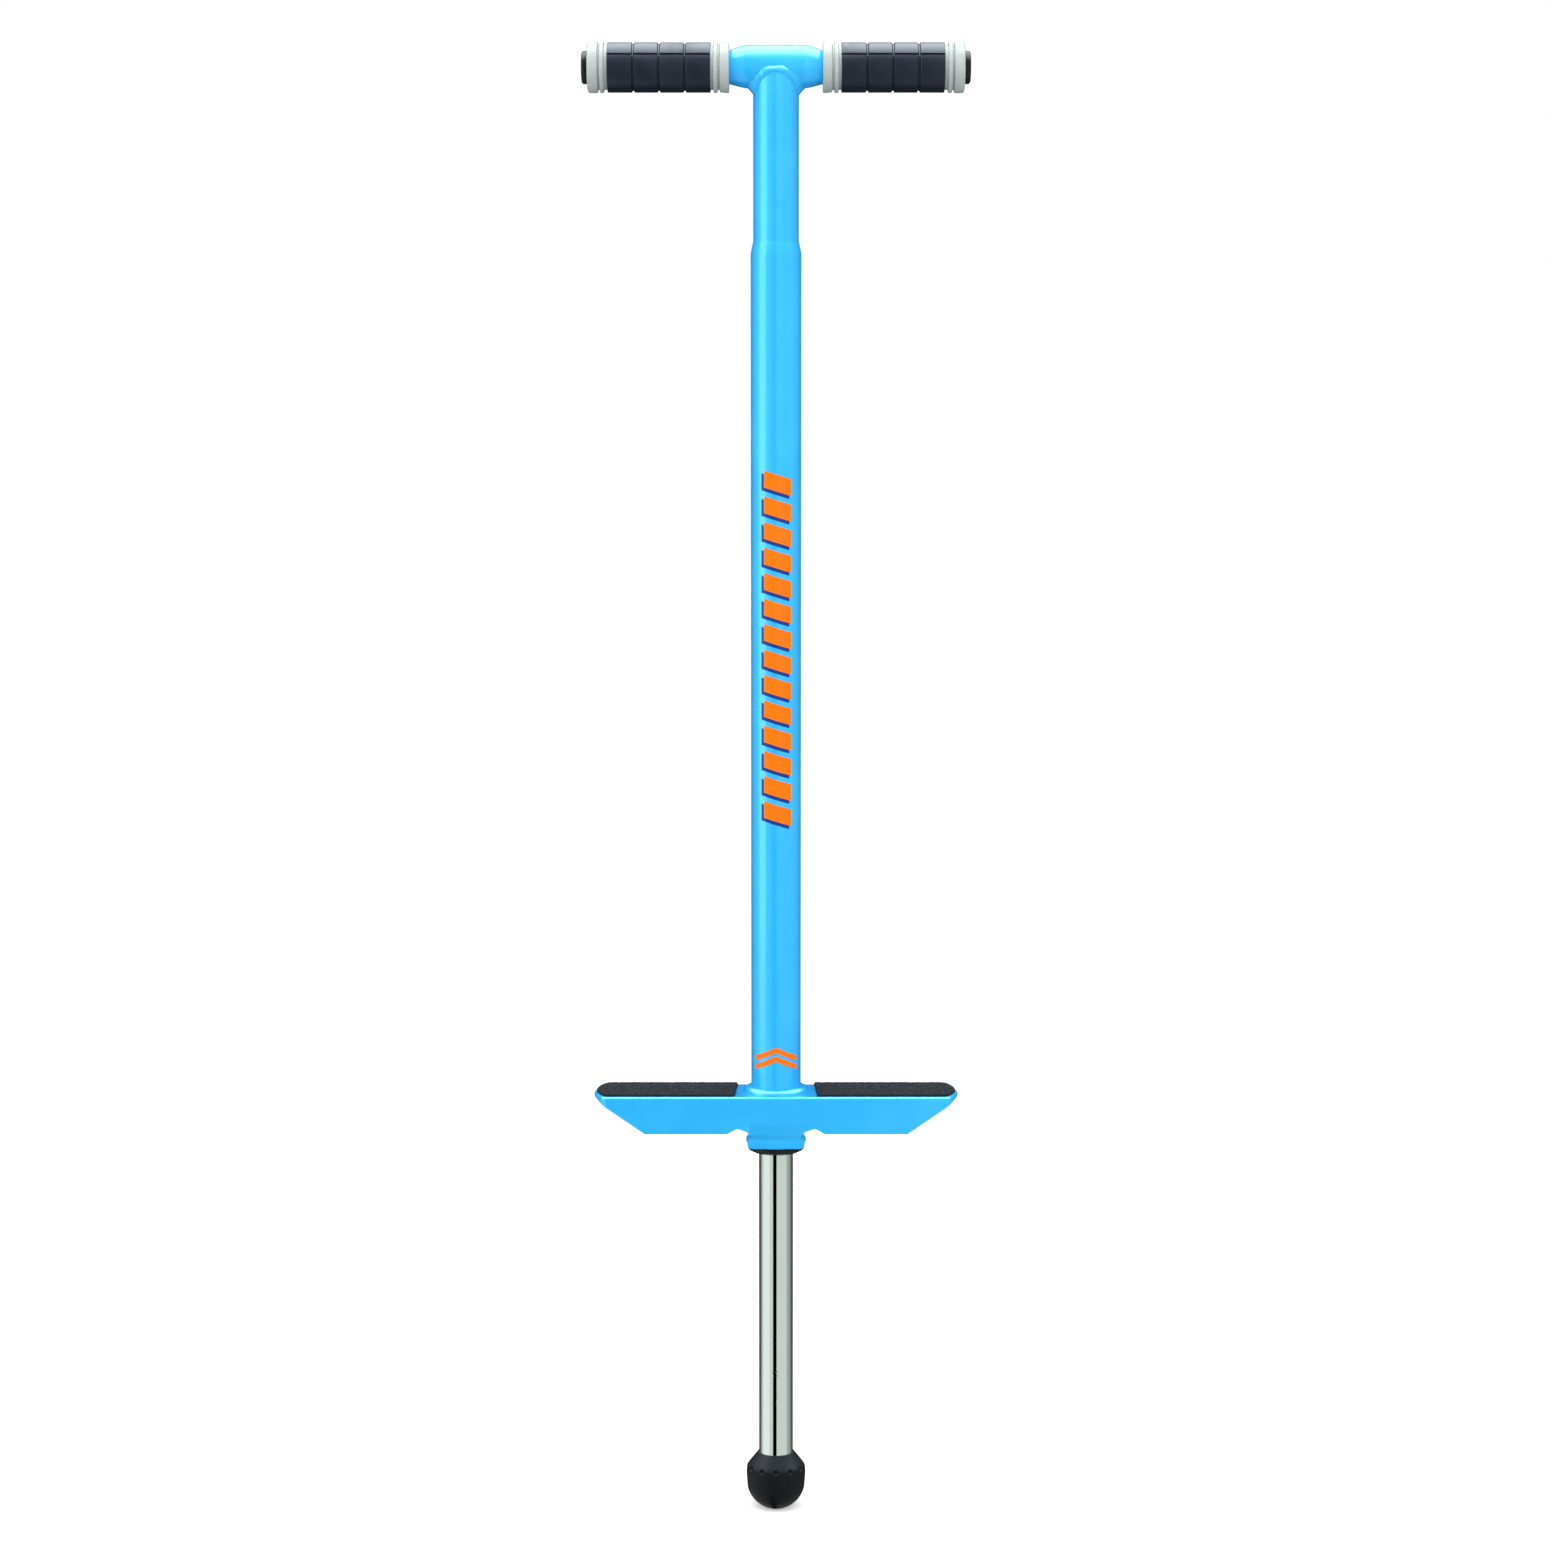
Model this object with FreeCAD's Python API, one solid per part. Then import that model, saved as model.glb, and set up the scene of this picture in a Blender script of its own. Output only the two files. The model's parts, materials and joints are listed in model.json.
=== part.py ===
"""Child's pogo stick, in millimetres: +Z up, X along the handlebar, origin on the floor under the rubber tip.

The painted frame carries the grips, the foot bracket and the guide bushing. Inside the main tube a
long compression spring stands between the stem's plug and a seat that rides on the chrome plunger.
"""

import FreeCAD, Part
import math
import os
from FreeCAD import Vector

# Frame tubes: outer radii and wall
MAIN_R = 15.9
STEM_R = 14.3
BAR_R = 11.1
WALL = 1.5
BORE_R = MAIN_R - WALL

# Heights of the frame
COLLAR_Z = 241.0
PLATE_Z = 276.0
MAIN_TOP_Z = 809.0
NECK_TOP_Z = 817.0
STEM_BOTTOM_Z = 700.0
BAR_Z = 924.5

# Handlebar and its swollen middle
BAR_HALF = 117.4
BULGE_R = 13.6
BULGE_FLAT = 17.5
BULGE_HALF = 29.0
SADDLE_BEAD = 1.6

# Grips: stations along the bar from the middle, and radii
GRIP_IN = 29.3
GRIP_OUT = 117.5
SLEEVE_IN = 40.8
SLEEVE_OUT = 105.0
INNER_FLANGE_END = 35.2
INNER_RING = (36.3, 39.0)
OUTER_RING = (107.2, 110.0)
OUTER_FLANGE = 111.0
CORE_R = 13.0
GROOVE_R = 14.0
RING_R = 15.6
FLANGE_R = 15.7
SLEEVE_R = 15.4
BLOCKS = 4
BLOCK_GROOVE = 1.9
BLOCK_DEPTH = 1.0
LENGTH_GROOVE = 1.1
LENGTH_GROOVE_ANGLE = 33.0
PLUG_R = 10.2
PLUG_HEAD = 3.9
PLUG_STEM = 21.4

# Foot bracket: a pressed pan, open below
PAN_HALF = 117.0
PAN_DEPTH_HALF = 21.8
PAN_END_BOW = 6.0
PAN_CORNER = 6.0
PAN_EDGE = 1.6
PAN_INNER_EDGE = 0.5
PAN_WALL = 2.0
SKIRT_Z = 252.0
SKIRT_FLAT_HALF = 84.0
SKIRT_END = (115.0, 273.9)
NOTCH_OUT_X = 31.3
NOTCH_TOP = (25.6, 255.2)
NOTCH_SIDE = (20.6, 253.2)
NOTCH_LOW_Z = 249.8
TAB_HALF = 17.7
TAB_Z = 241.9
TAB_BEND_Z = 249.0
TAB_LEAN = 0.9

# Foot pads
PAD_IN_FRONT = 26.6
PAD_IN_BACK = 25.0
PAD_OUT = 115.0
PAD_DEPTH_HALF = 19.6
PAD_THICK = 1.9

# Barrel-shaped collar round the tube's lower end
COLLAR_R = 19.3
COLLAR_END_R = 17.6
COLLAR_TOP_Z = 250.4

# Guide bushing and rebound bumper
BUSH_FLANGE_R = 18.0
BUSH_TOP_Z = 277.0
SHAFT_R = 11.0
SHAFT_WALL = 1.6
RUNNING_GAP = 0.06
BUMPER_TOP_Z = 284.0

# Plunger
SHAFT_BOTTOM_Z = 14.0
SHAFT_TOP_Z = 299.0
HEAD_Z = 284.6
HEAD_R = 14.0
WASHER = 1.6
INSERT = 2.0

# Spring and its two seats
SEAT_FLANGE = 3.0
SEAT_GAP = 0.3
SPIGOT_R = 8.4
SPIGOT = 12.0
COIL_R = 11.0
WIRE_R = 2.0
COILS = 36
STOP_Z = 692.0
STOP_FLANGE = 8.0

# Rubber tip
TIP_R = 19.25
TIP_BELT_Z = (24.0, 28.0)
TIP_TOP_Z = 37.0
TIP_LOW = (18.5, 13.8)
TIP_MIDDLE = (13.6, 4.8)
TIP_FLAT_R = 5.8
PITS = 12
PIT_R = 1.15
PIT_DEPTH = 0.9
PIT_Z = 26.8

# Printed film on the main tube
FILM = 0.12
STRIPES = 14
STRIPES_Z = (455.0, 680.0)
STRIPE_X = (-7.6, 9.8)
STRIPE_FILL = 0.66
STRIPE_DROP = 5.5
SHADOW_SHIFT = (-1.5, -1.8)
MARK_Z = 292.0
MARK_HALF_WIDTH = 13.0
MARK_RISE = 6.0
MARK_STROKE = 3.6
MARK_PITCH = 5.6

Z_AXIS = Vector(0, 0, 1)
X_AXIS = Vector(1, 0, 0)


def rod_z(radius, z0, z1):
    """A cylinder round the Z axis."""
    return Part.makeCylinder(radius, z1 - z0, Vector(0, 0, z0), Z_AXIS)


def tube_z(outer, inner, z0, z1):
    """A tube round the Z axis."""
    return rod_z(outer, z0, z1).cut(rod_z(inner, z0 - 1, z1 + 1))


def rod_x(radius, x0, x1):
    """A cylinder round the handlebar's axis."""
    return Part.makeCylinder(radius, x1 - x0, Vector(x0, 0, BAR_Z), X_AXIS)


def turned_z(outline):
    """A solid turned about Z from (radius, z) corners."""
    points = [Vector(r, 0, z) for r, z in outline]
    face = Part.Face(Part.makePolygon(points + points[:1]))
    return face.revolve(Vector(0, 0, 0), Z_AXIS, 360)


def turned_bar(outline):
    """A solid turned about the handlebar's axis from (x, radius) corners."""
    points = [Vector(x, 0, BAR_Z + r) for x, r in outline]
    face = Part.Face(Part.makePolygon(points + points[:1]))
    return face.revolve(Vector(0, 0, BAR_Z), X_AXIS, 360)


def mirrored(shape):
    """The same shape on the other side of the YZ plane."""
    return shape.mirror(Vector(0, 0, 0), X_AXIS)


def at_xz(corner):
    """The point of an (x, z) corner in the XZ plane."""
    return Vector(corner[0], 0, corner[1])


def rounded(shape, radius, chosen):
    """Fillet the edges for which chosen(edge) is true."""
    return shape.makeFillet(radius, [e for e in shape.Edges if chosen(e)])


def write(node, shape):
    """Save one sub-part after checking that it is sound."""
    if not shape.isValid():
        raise ValueError(node + " is not a valid shape")
    shape.exportStep("parts/" + node + ".step")
    print(node, len(shape.Solids), round(shape.Volume), "mm3")


# ---------------------------------------------------------------- handlebar, stem and main tube


def bar_outside():
    """The handlebar's outer form: a round bar that swells smoothly over the stem."""
    middle = (BULGE_FLAT + BULGE_HALF) / 2
    top = BAR_Z + BULGE_R
    side = BAR_Z + BAR_R
    shoulder = Part.BezierCurve()
    shoulder.setPoles([Vector(BULGE_FLAT, 0, top), Vector(middle, 0, top),
                       Vector(middle, 0, side), Vector(BULGE_HALF, 0, side)])
    right = shoulder.toShape()
    left = mirrored(right)
    flat = Part.LineSegment(Vector(-BULGE_FLAT, 0, top), Vector(BULGE_FLAT, 0, top)).toShape()
    ends = [Vector(BULGE_HALF, 0, side), Vector(BAR_HALF, 0, side), Vector(BAR_HALF, 0, BAR_Z)]
    ends += [Vector(-BAR_HALF, 0, BAR_Z), Vector(-BAR_HALF, 0, side), Vector(-BULGE_HALF, 0, side)]
    wire = Part.Wire([right] + Part.makePolygon(ends).Edges + [left, flat])
    return Part.Face(wire).revolve(Vector(0, 0, BAR_Z), X_AXIS, 360)


def handlebar():
    """One tube through both grips."""
    return bar_outside().cut(rod_x(BAR_R - WALL, -BAR_HALF - 1, BAR_HALF + 1))


def stem_tube():
    """The upright under the handlebar, coped to fit it, and pushed down into the main tube."""
    tube = tube_z(STEM_R, STEM_R - WALL, STEM_BOTTOM_Z, BAR_Z - 2.5)
    return tube.cut(bar_outside())


def stem_weld():
    """The bead that runs round the saddle joint between stem and handlebar."""
    outer = STEM_R + SADDLE_BEAD
    band = tube_z(outer, STEM_R, BAR_Z - BULGE_R - SADDLE_BEAD, BAR_Z)
    near_bar = rod_x(BULGE_R + SADDLE_BEAD, -BULGE_HALF, BULGE_HALF)
    return band.common(near_bar).cut(bar_outside())


def main_tube():
    """The large tube that guides the plunger and holds the spring."""
    return tube_z(MAIN_R, BORE_R, COLLAR_Z, MAIN_TOP_Z)


def neck_weld():
    """The conical collar that closes the step from the main tube to the stem."""
    rise = NECK_TOP_Z - MAIN_TOP_Z
    step = MAIN_R - STEM_R
    outline = [(STEM_R, MAIN_TOP_Z), (MAIN_R, MAIN_TOP_Z), (MAIN_R - step * 0.12, MAIN_TOP_Z + rise * 0.2)]
    outline += [(STEM_R + step * 0.16, MAIN_TOP_Z + rise * 0.82), (STEM_R, NECK_TOP_Z)]
    return turned_z(outline)


def upper_spring_stop():
    """A turned plug in the stem's lower end, with a spigot that centres the spring."""
    stem_bore = STEM_R - WALL
    flange_top = STOP_Z + STOP_FLANGE
    outline = [(0, STOP_Z - SPIGOT), (SPIGOT_R - 1.5, STOP_Z - SPIGOT), (SPIGOT_R, STOP_Z - SPIGOT + 3)]
    outline += [(SPIGOT_R, STOP_Z), (BORE_R, STOP_Z), (BORE_R, flange_top)]
    outline += [(stem_bore, flange_top), (stem_bore, flange_top + 14), (0, flange_top + 14)]
    return turned_z(outline)


# ---------------------------------------------------------------- grips


def grip_core():
    """The pale moulding of one grip, on the +X side: a sleeve with two end flanges and two rings."""
    edge = 0.7
    outline = [(GRIP_IN, BAR_R), (GRIP_IN, FLANGE_R - edge), (GRIP_IN + edge, FLANGE_R)]
    outline += [(INNER_FLANGE_END - edge, FLANGE_R - 0.5), (INNER_FLANGE_END, FLANGE_R - 1.2)]
    outline += [(INNER_FLANGE_END + 0.4, GROOVE_R)]
    for x0, x1 in (INNER_RING, OUTER_RING):
        ring = [(x0, GROOVE_R), (x0, RING_R - edge), (x0 + edge, RING_R)]
        ring += [(x1 - edge, RING_R), (x1, RING_R - edge), (x1, GROOVE_R)]
        if x0 < SLEEVE_IN:
            ring += [(SLEEVE_IN, GROOVE_R), (SLEEVE_IN, CORE_R), (SLEEVE_OUT, CORE_R), (SLEEVE_OUT, GROOVE_R)]
        outline += ring
    round_off = 1.8
    outline += [(OUTER_FLANGE, GROOVE_R), (OUTER_FLANGE, FLANGE_R - 1.0), (OUTER_FLANGE + 1.0, FLANGE_R)]
    outline += [(GRIP_OUT - round_off, FLANGE_R), (GRIP_OUT - 0.5, FLANGE_R - 0.6)]
    outline += [(GRIP_OUT, FLANGE_R - round_off), (GRIP_OUT, BAR_R)]
    return turned_bar(outline)


def grip_sleeve():
    """The dark rubber over one grip's core: four blocks parted by ring and lengthwise grooves."""
    edge = 0.6
    length = SLEEVE_OUT - SLEEVE_IN
    outline = [(SLEEVE_IN, CORE_R), (SLEEVE_IN, SLEEVE_R - edge), (SLEEVE_IN + edge, SLEEVE_R)]
    for i in range(1, BLOCKS):
        x = SLEEVE_IN + length * i / BLOCKS
        half = BLOCK_GROOVE / 2
        outline += [(x - half, SLEEVE_R), (x - half * 0.4, SLEEVE_R - BLOCK_DEPTH)]
        outline += [(x + half * 0.4, SLEEVE_R - BLOCK_DEPTH), (x + half, SLEEVE_R)]
    outline += [(SLEEVE_OUT - edge, SLEEVE_R), (SLEEVE_OUT, SLEEVE_R - edge), (SLEEVE_OUT, CORE_R)]
    sleeve = turned_bar(outline)
    for turn in range(4):
        groove = Part.makeBox(length + 4, LENGTH_GROOVE, 3)
        groove.translate(Vector(SLEEVE_IN - 2, -LENGTH_GROOVE / 2, BAR_Z + SLEEVE_R - 0.7))
        groove.rotate(Vector(0, 0, BAR_Z), X_AXIS, 90 - LENGTH_GROOVE_ANGLE + 90 * turn)
        sleeve = sleeve.cut(groove)
    return sleeve


def end_plug():
    """The domed plug in the handlebar's open end, on the +X side."""
    bore = BAR_R - WALL
    inner = BAR_HALF - PLUG_STEM
    outline = [(inner, 0), (inner, bore - 1.2), (inner + 3, bore), (BAR_HALF, bore), (BAR_HALF, PLUG_R)]
    steps = 6
    for i in range(1, steps + 1):
        angle = math.pi / 2 * i / steps
        outline.append((BAR_HALF + PLUG_HEAD * math.sin(angle), PLUG_R * math.cos(angle) ** 0.5))
    outline[-1] = (BAR_HALF + PLUG_HEAD, 0)
    return turned_bar(outline)


# ---------------------------------------------------------------- foot bracket


def pan_plan(half_length, half_depth, bow, z):
    """The pan's plan: straight sides and bowed ends."""
    x = half_length - bow
    near = [Vector(-x, -half_depth, z), Vector(x, -half_depth, z)]
    far = [Vector(x, half_depth, z), Vector(-x, half_depth, z)]
    edges = [Part.LineSegment(*near).toShape()]
    edges.append(Part.Arc(near[1], Vector(half_length, 0, z), far[0]).toShape())
    edges.append(Part.LineSegment(*far).toShape())
    edges.append(Part.Arc(far[1], Vector(-half_length, 0, z), near[0]).toShape())
    return Part.Face(Part.Wire(edges))


def upright(edge):
    """Whether an edge is parallel to Z."""
    box = edge.BoundBox
    return box.ZLength > 1 and box.XLength < 1e-6 and box.YLength < 1e-6


def lying_at(z):
    """A test for edges that lie at one height."""
    return lambda edge: abs(edge.BoundBox.ZMin - z) < 1e-6 and edge.BoundBox.ZLength < 1e-6


def pan_block(inset, top, edge):
    """A solid block with the pan's outline, inset by a wall, its top edge rounded."""
    face = pan_plan(PAN_HALF - inset, PAN_DEPTH_HALF - inset, PAN_END_BOW, TAB_Z - inset)
    block = face.extrude(Vector(0, 0, top - TAB_Z + inset))
    block = rounded(block, PAN_CORNER - inset, upright)
    return rounded(block, edge, lying_at(top))


def skirt_cutter():
    """What the press trims off the skirt, on the +X side: a rising end, and a scoop beside the tab."""
    depth = PAN_DEPTH_HALF + 5
    reach = PAN_HALF + 5
    low = TAB_Z - 5
    scoop = Part.Arc(at_xz(NOTCH_TOP), at_xz(NOTCH_SIDE), at_xz((TAB_HALF, NOTCH_LOW_Z)))
    trim = [(TAB_HALF, NOTCH_LOW_Z), (TAB_HALF, low), (reach, low), (reach, SKIRT_END[1]), SKIRT_END]
    trim += [(SKIRT_FLAT_HALF, SKIRT_Z), (NOTCH_OUT_X, SKIRT_Z), NOTCH_TOP]
    lines = Part.makePolygon([at_xz(corner) for corner in trim])
    face = Part.Face(Part.Wire([scoop.toShape()] + lines.Edges))
    cutter = face.extrude(Vector(0, 2 * depth, 0))
    cutter.translate(Vector(0, -depth, 0))
    return cutter


def tab_lean():
    """What the front tab's lean takes off its outer face below the bend."""
    outer = -PAN_DEPTH_HALF
    low = TAB_Z - 1
    corners = [(outer - 1, TAB_BEND_Z), (outer, TAB_BEND_Z), (outer + TAB_LEAN, low), (outer - 1, low)]
    face = Part.Face(Part.makePolygon([Vector(-TAB_HALF - 5, y, z) for y, z in corners + corners[:1]]))
    return face.extrude(Vector(2 * TAB_HALF + 10, 0, 0))


def foot_bracket():
    """A pressed steel pan that the main tube passes through, with a centre tab front and back."""
    hollow = pan_block(PAN_WALL, PLATE_Z - PAN_WALL, PAN_INNER_EDGE)
    pan = pan_block(0, PLATE_Z, PAN_EDGE).cut(hollow)
    cutter = skirt_cutter()
    pan = pan.cut(cutter).cut(mirrored(cutter)).cut(rod_z(MAIN_R, TAB_Z - 20, PLATE_Z + 10))
    front = tab_lean()
    back = front.mirror(Vector(0, 0, 0), Vector(0, 1, 0))
    return pan.cut(front).cut(back).removeSplitter()


def lower_collar():
    """The thick collar welded round the main tube's lower end, behind the tabs."""
    low = (COLLAR_END_R, COLLAR_Z)
    high = (COLLAR_END_R, COLLAR_TOP_Z)
    widest = (COLLAR_R, (COLLAR_Z + COLLAR_TOP_Z) / 2)
    side = Part.Arc(at_xz(low), at_xz(widest), at_xz(high))
    inside = [high, (MAIN_R, COLLAR_TOP_Z), (MAIN_R, COLLAR_Z), low]
    lines = Part.makePolygon([at_xz(corner) for corner in inside])
    return Part.Face(Part.Wire([side.toShape()] + lines.Edges)).revolve(Vector(0, 0, 0), Z_AXIS, 360)


def bracket_weld():
    """The bead round the main tube on top of the bracket."""
    leg = 4.2
    rise = 3.0
    outline = [(MAIN_R, PLATE_Z), (MAIN_R + leg, PLATE_Z), (MAIN_R + leg * 0.72, PLATE_Z + rise * 0.4)]
    outline += [(MAIN_R + leg * 0.36, PLATE_Z + rise * 0.8), (MAIN_R, PLATE_Z + rise)]
    return turned_z(outline)


def foot_pad():
    """The grippy pad on one side of the bracket's top, on the +X side."""
    z = PLATE_Z
    whole = pan_plan(PAD_OUT, PAD_DEPTH_HALF, PAN_END_BOW, z).extrude(Vector(0, 0, PAD_THICK))
    whole = rounded(whole, PAN_CORNER, upright)
    reach = PAD_DEPTH_HALF
    corners = [(PAD_IN_FRONT, -reach), (PAD_OUT, -reach), (PAD_OUT, reach), (PAD_IN_BACK, reach)]
    points = [Vector(x, y, z) for x, y in corners]
    side = Part.Face(Part.makePolygon(points + points[:1])).extrude(Vector(0, 0, PAD_THICK))
    return whole.common(side)


# ---------------------------------------------------------------- guide, plunger and spring


def lower_bushing():
    """The flanged plastic guide pressed into the main tube's lower end."""
    bore = SHAFT_R + RUNNING_GAP
    flange = COLLAR_Z - 4.4
    outline = [(bore, flange + 0.6), (bore + 0.6, flange), (15.0, flange), (16.8, flange + 0.7)]
    outline += [(BUSH_FLANGE_R, flange + 2.2), (BUSH_FLANGE_R, COLLAR_Z), (BORE_R, COLLAR_Z)]
    outline += [(BORE_R, BUSH_TOP_Z), (bore, BUSH_TOP_Z)]
    return turned_z(outline)


def rebound_bumper():
    """The rubber ring that the plunger's head lands on."""
    return tube_z(BORE_R - 0.2, SHAFT_R + 0.5, BUSH_TOP_Z, BUMPER_TOP_Z)


def plunger_shaft():
    """The chromed tube that slides in the bushing."""
    return tube_z(SHAFT_R, SHAFT_R - SHAFT_WALL, SHAFT_BOTTOM_Z, SHAFT_TOP_Z)


def plunger_head():
    """The steel ring welded round the shaft's top, which keeps it in the frame."""
    edge = 1.0
    outline = [(SHAFT_R, HEAD_Z), (HEAD_R - edge, HEAD_Z), (HEAD_R, HEAD_Z + edge)]
    outline += [(HEAD_R, SHAFT_TOP_Z - edge), (HEAD_R - edge, SHAFT_TOP_Z), (SHAFT_R, SHAFT_TOP_Z)]
    return turned_z(outline)


def thrust_washer():
    """The washer on which the spring seat can turn."""
    return tube_z(HEAD_R - 0.6, 5.0, SHAFT_TOP_Z, SHAFT_TOP_Z + WASHER)


def seat_bottom():
    """Height of the spring seat's underside."""
    return SHAFT_TOP_Z + WASHER + SEAT_GAP


def spring_seat():
    """The flanged seat under the spring, with a spigot inside the coils."""
    bottom = seat_bottom()
    top = bottom + SEAT_FLANGE
    outline = [(0, bottom), (HEAD_R - 0.4, bottom), (HEAD_R - 0.4, top), (SPIGOT_R, top)]
    outline += [(SPIGOT_R, top + SPIGOT - 3), (SPIGOT_R - 1.5, top + SPIGOT), (0, top + SPIGOT)]
    return turned_z(outline)


def main_spring():
    """The long compression spring at its fitted length."""
    low = seat_bottom() + SEAT_FLANGE + WIRE_R
    height = STOP_Z - WIRE_R - low
    helix = Part.makeHelix(height / COILS, height, COIL_R)
    ring = Part.makeCircle(WIRE_R, Vector(COIL_R, 0, 0), Vector(0, 1, 0))
    pipe = Part.Wire(helix.Edges).makePipeShell([Part.Wire(ring)], True, True)
    pipe.translate(Vector(0, 0, low))
    return pipe


def tip_insert():
    """The steel disc inside the rubber tip that carries the shaft's end."""
    return rod_z(SHAFT_R, SHAFT_BOTTOM_Z - INSERT, SHAFT_BOTTOM_Z)


def rubber_tip():
    """The round rubber foot, with a flat at the bottom and a row of small pits round its belt."""
    low, high = TIP_BELT_Z
    arc = Part.Arc(at_xz((TIP_FLAT_R, 0)), at_xz(TIP_MIDDLE), at_xz(TIP_LOW))
    floor = SHAFT_BOTTOM_Z - INSERT
    points = [TIP_LOW, (TIP_R, low), (TIP_R, high), (SHAFT_R + 0.9, TIP_TOP_Z)]
    points += [(SHAFT_R, TIP_TOP_Z), (SHAFT_R, floor), (0, floor), (0, 0), (TIP_FLAT_R, 0)]
    lines = Part.makePolygon([at_xz(corner) for corner in points])
    wire = Part.Wire([arc.toShape()] + lines.Edges)
    tip = Part.Face(wire).revolve(Vector(0, 0, 0), Z_AXIS, 360)
    for i in range(PITS):
        pit = Part.makeCylinder(PIT_R, 5, Vector(0, -TIP_R + PIT_DEPTH, PIT_Z), Vector(0, -1, 0))
        pit.rotate(Vector(0, 0, 0), Z_AXIS, 360 * i / PITS)
        tip = tip.cut(pit)
    return tip


# ---------------------------------------------------------------- printed film


def film(layer, outlines):
    """Patches of film on the front of the main tube, one layer above another."""
    inner = MAIN_R + FILM * layer
    shell = tube_z(inner + FILM, inner, PLATE_Z, MAIN_TOP_Z)
    patches = []
    for corners in outlines:
        points = [Vector(x, -40, z) for x, z in corners]
        face = Part.Face(Part.makePolygon(points + points[:1]))
        patches.append(shell.common(face.extrude(Vector(0, 40, 0))))
    return Part.makeCompound(patches)


def stripes(shift_x, shift_z):
    """Outlines of the slanted stripes that run down the tube."""
    low, high = STRIPES_Z
    pitch = (high - low) / STRIPES
    outlines = []
    for i in range(STRIPES):
        z = low + pitch * i + shift_z
        top = z + pitch * STRIPE_FILL
        left = STRIPE_X[0] + shift_x
        right = STRIPE_X[1] + shift_x
        outlines.append([(left, z), (right, z - STRIPE_DROP), (right, top - STRIPE_DROP), (left, top)])
    return outlines


def chevrons():
    """Outlines of the small mark above the bracket: two plain chevrons."""
    outlines = []
    for i in range(2):
        z = MARK_Z + MARK_PITCH * i
        peak = z + MARK_RISE
        half = MARK_HALF_WIDTH
        corners = [(-half, z), (0, peak), (half, z), (half, z + MARK_STROKE)]
        corners += [(0, peak + MARK_STROKE), (-half, z + MARK_STROKE)]
        outlines.append(corners)
    return outlines


def main():
    os.makedirs("parts", exist_ok=True)
    write("main_tube", main_tube())
    write("stem_tube", stem_tube())
    write("handlebar", handlebar())
    write("stem_weld", stem_weld())
    write("neck_weld", neck_weld())
    write("upper_spring_stop", upper_spring_stop())
    for name, make in (("grip_core", grip_core), ("grip_sleeve", grip_sleeve),
                       ("end_plug", end_plug), ("foot_pad", foot_pad)):
        right = make()
        write("right_" + name, right)
        write("left_" + name, mirrored(right))
    write("foot_bracket", foot_bracket())
    write("lower_collar", lower_collar())
    write("bracket_weld", bracket_weld())
    write("lower_bushing", lower_bushing())
    write("rebound_bumper", rebound_bumper())
    write("plunger_shaft", plunger_shaft())
    write("plunger_head", plunger_head())
    write("thrust_washer", thrust_washer())
    write("spring_seat", spring_seat())
    write("main_spring", main_spring())
    write("tip_insert", tip_insert())
    write("rubber_tip", rubber_tip())
    write("graphic_shadow", film(0, stripes(*SHADOW_SHIFT)))
    write("graphic_bars", film(1, stripes(0, 0)))
    write("small_mark", film(0, chevrons()))


main()
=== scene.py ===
"""A child's pogo stick: the finished look of every piece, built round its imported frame, in metres."""

import json
import math

import bmesh
import bpy
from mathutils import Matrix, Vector


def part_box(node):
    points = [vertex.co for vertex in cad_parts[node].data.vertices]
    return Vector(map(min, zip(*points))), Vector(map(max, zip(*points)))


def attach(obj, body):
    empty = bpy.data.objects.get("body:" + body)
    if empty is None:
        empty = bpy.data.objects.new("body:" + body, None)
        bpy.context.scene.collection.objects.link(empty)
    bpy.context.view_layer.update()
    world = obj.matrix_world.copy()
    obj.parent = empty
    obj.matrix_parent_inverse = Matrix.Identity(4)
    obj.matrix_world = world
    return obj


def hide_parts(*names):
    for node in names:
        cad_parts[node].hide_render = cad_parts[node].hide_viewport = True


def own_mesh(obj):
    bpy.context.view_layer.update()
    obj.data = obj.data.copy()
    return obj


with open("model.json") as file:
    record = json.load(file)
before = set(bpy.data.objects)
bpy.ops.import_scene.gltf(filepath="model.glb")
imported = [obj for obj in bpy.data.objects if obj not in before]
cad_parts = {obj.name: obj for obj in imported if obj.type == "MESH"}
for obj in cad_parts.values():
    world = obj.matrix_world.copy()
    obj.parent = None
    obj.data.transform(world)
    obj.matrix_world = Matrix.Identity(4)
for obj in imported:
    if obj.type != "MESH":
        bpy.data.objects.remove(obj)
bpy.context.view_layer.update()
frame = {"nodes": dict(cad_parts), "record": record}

NODES = frame["nodes"]
MM = 0.001


def corners(node):
    """A CAD node's lowest and highest corners."""
    low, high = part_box(node)
    return Vector(low), Vector(high)


# Sizes read from the frame
tube_low, tube_high = corners("main_tube")
bar_low, bar_high = corners("handlebar")
core_low, core_high = corners("right_grip_core")
sleeve_low, sleeve_high = corners("right_grip_sleeve")
plug_low, plug_high = corners("right_end_plug")
stem_low, stem_high = corners("stem_tube")
pan_low, pan_high = corners("foot_bracket")
pad_low, pad_high = corners("right_foot_pad")
collar_low, collar_high = corners("lower_collar")
bush_low, bush_high = corners("lower_bushing")
_, shaft_high = corners("plunger_shaft")
_, tip_high = corners("rubber_tip")
spring_low, spring_high = corners("main_spring")
film_low, film_high = corners("graphic_bars")
mark_low, mark_high = corners("small_mark")
_, neck_high = corners("neck_weld")

TUBE_R = tube_high.x
STEM_R = stem_high.x
SHAFT_R = shaft_high.x
BAR_Z = (bar_low.z + bar_high.z) / 2
PLATE_Z = pan_high.z
WALL = 1.5 * MM

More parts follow.
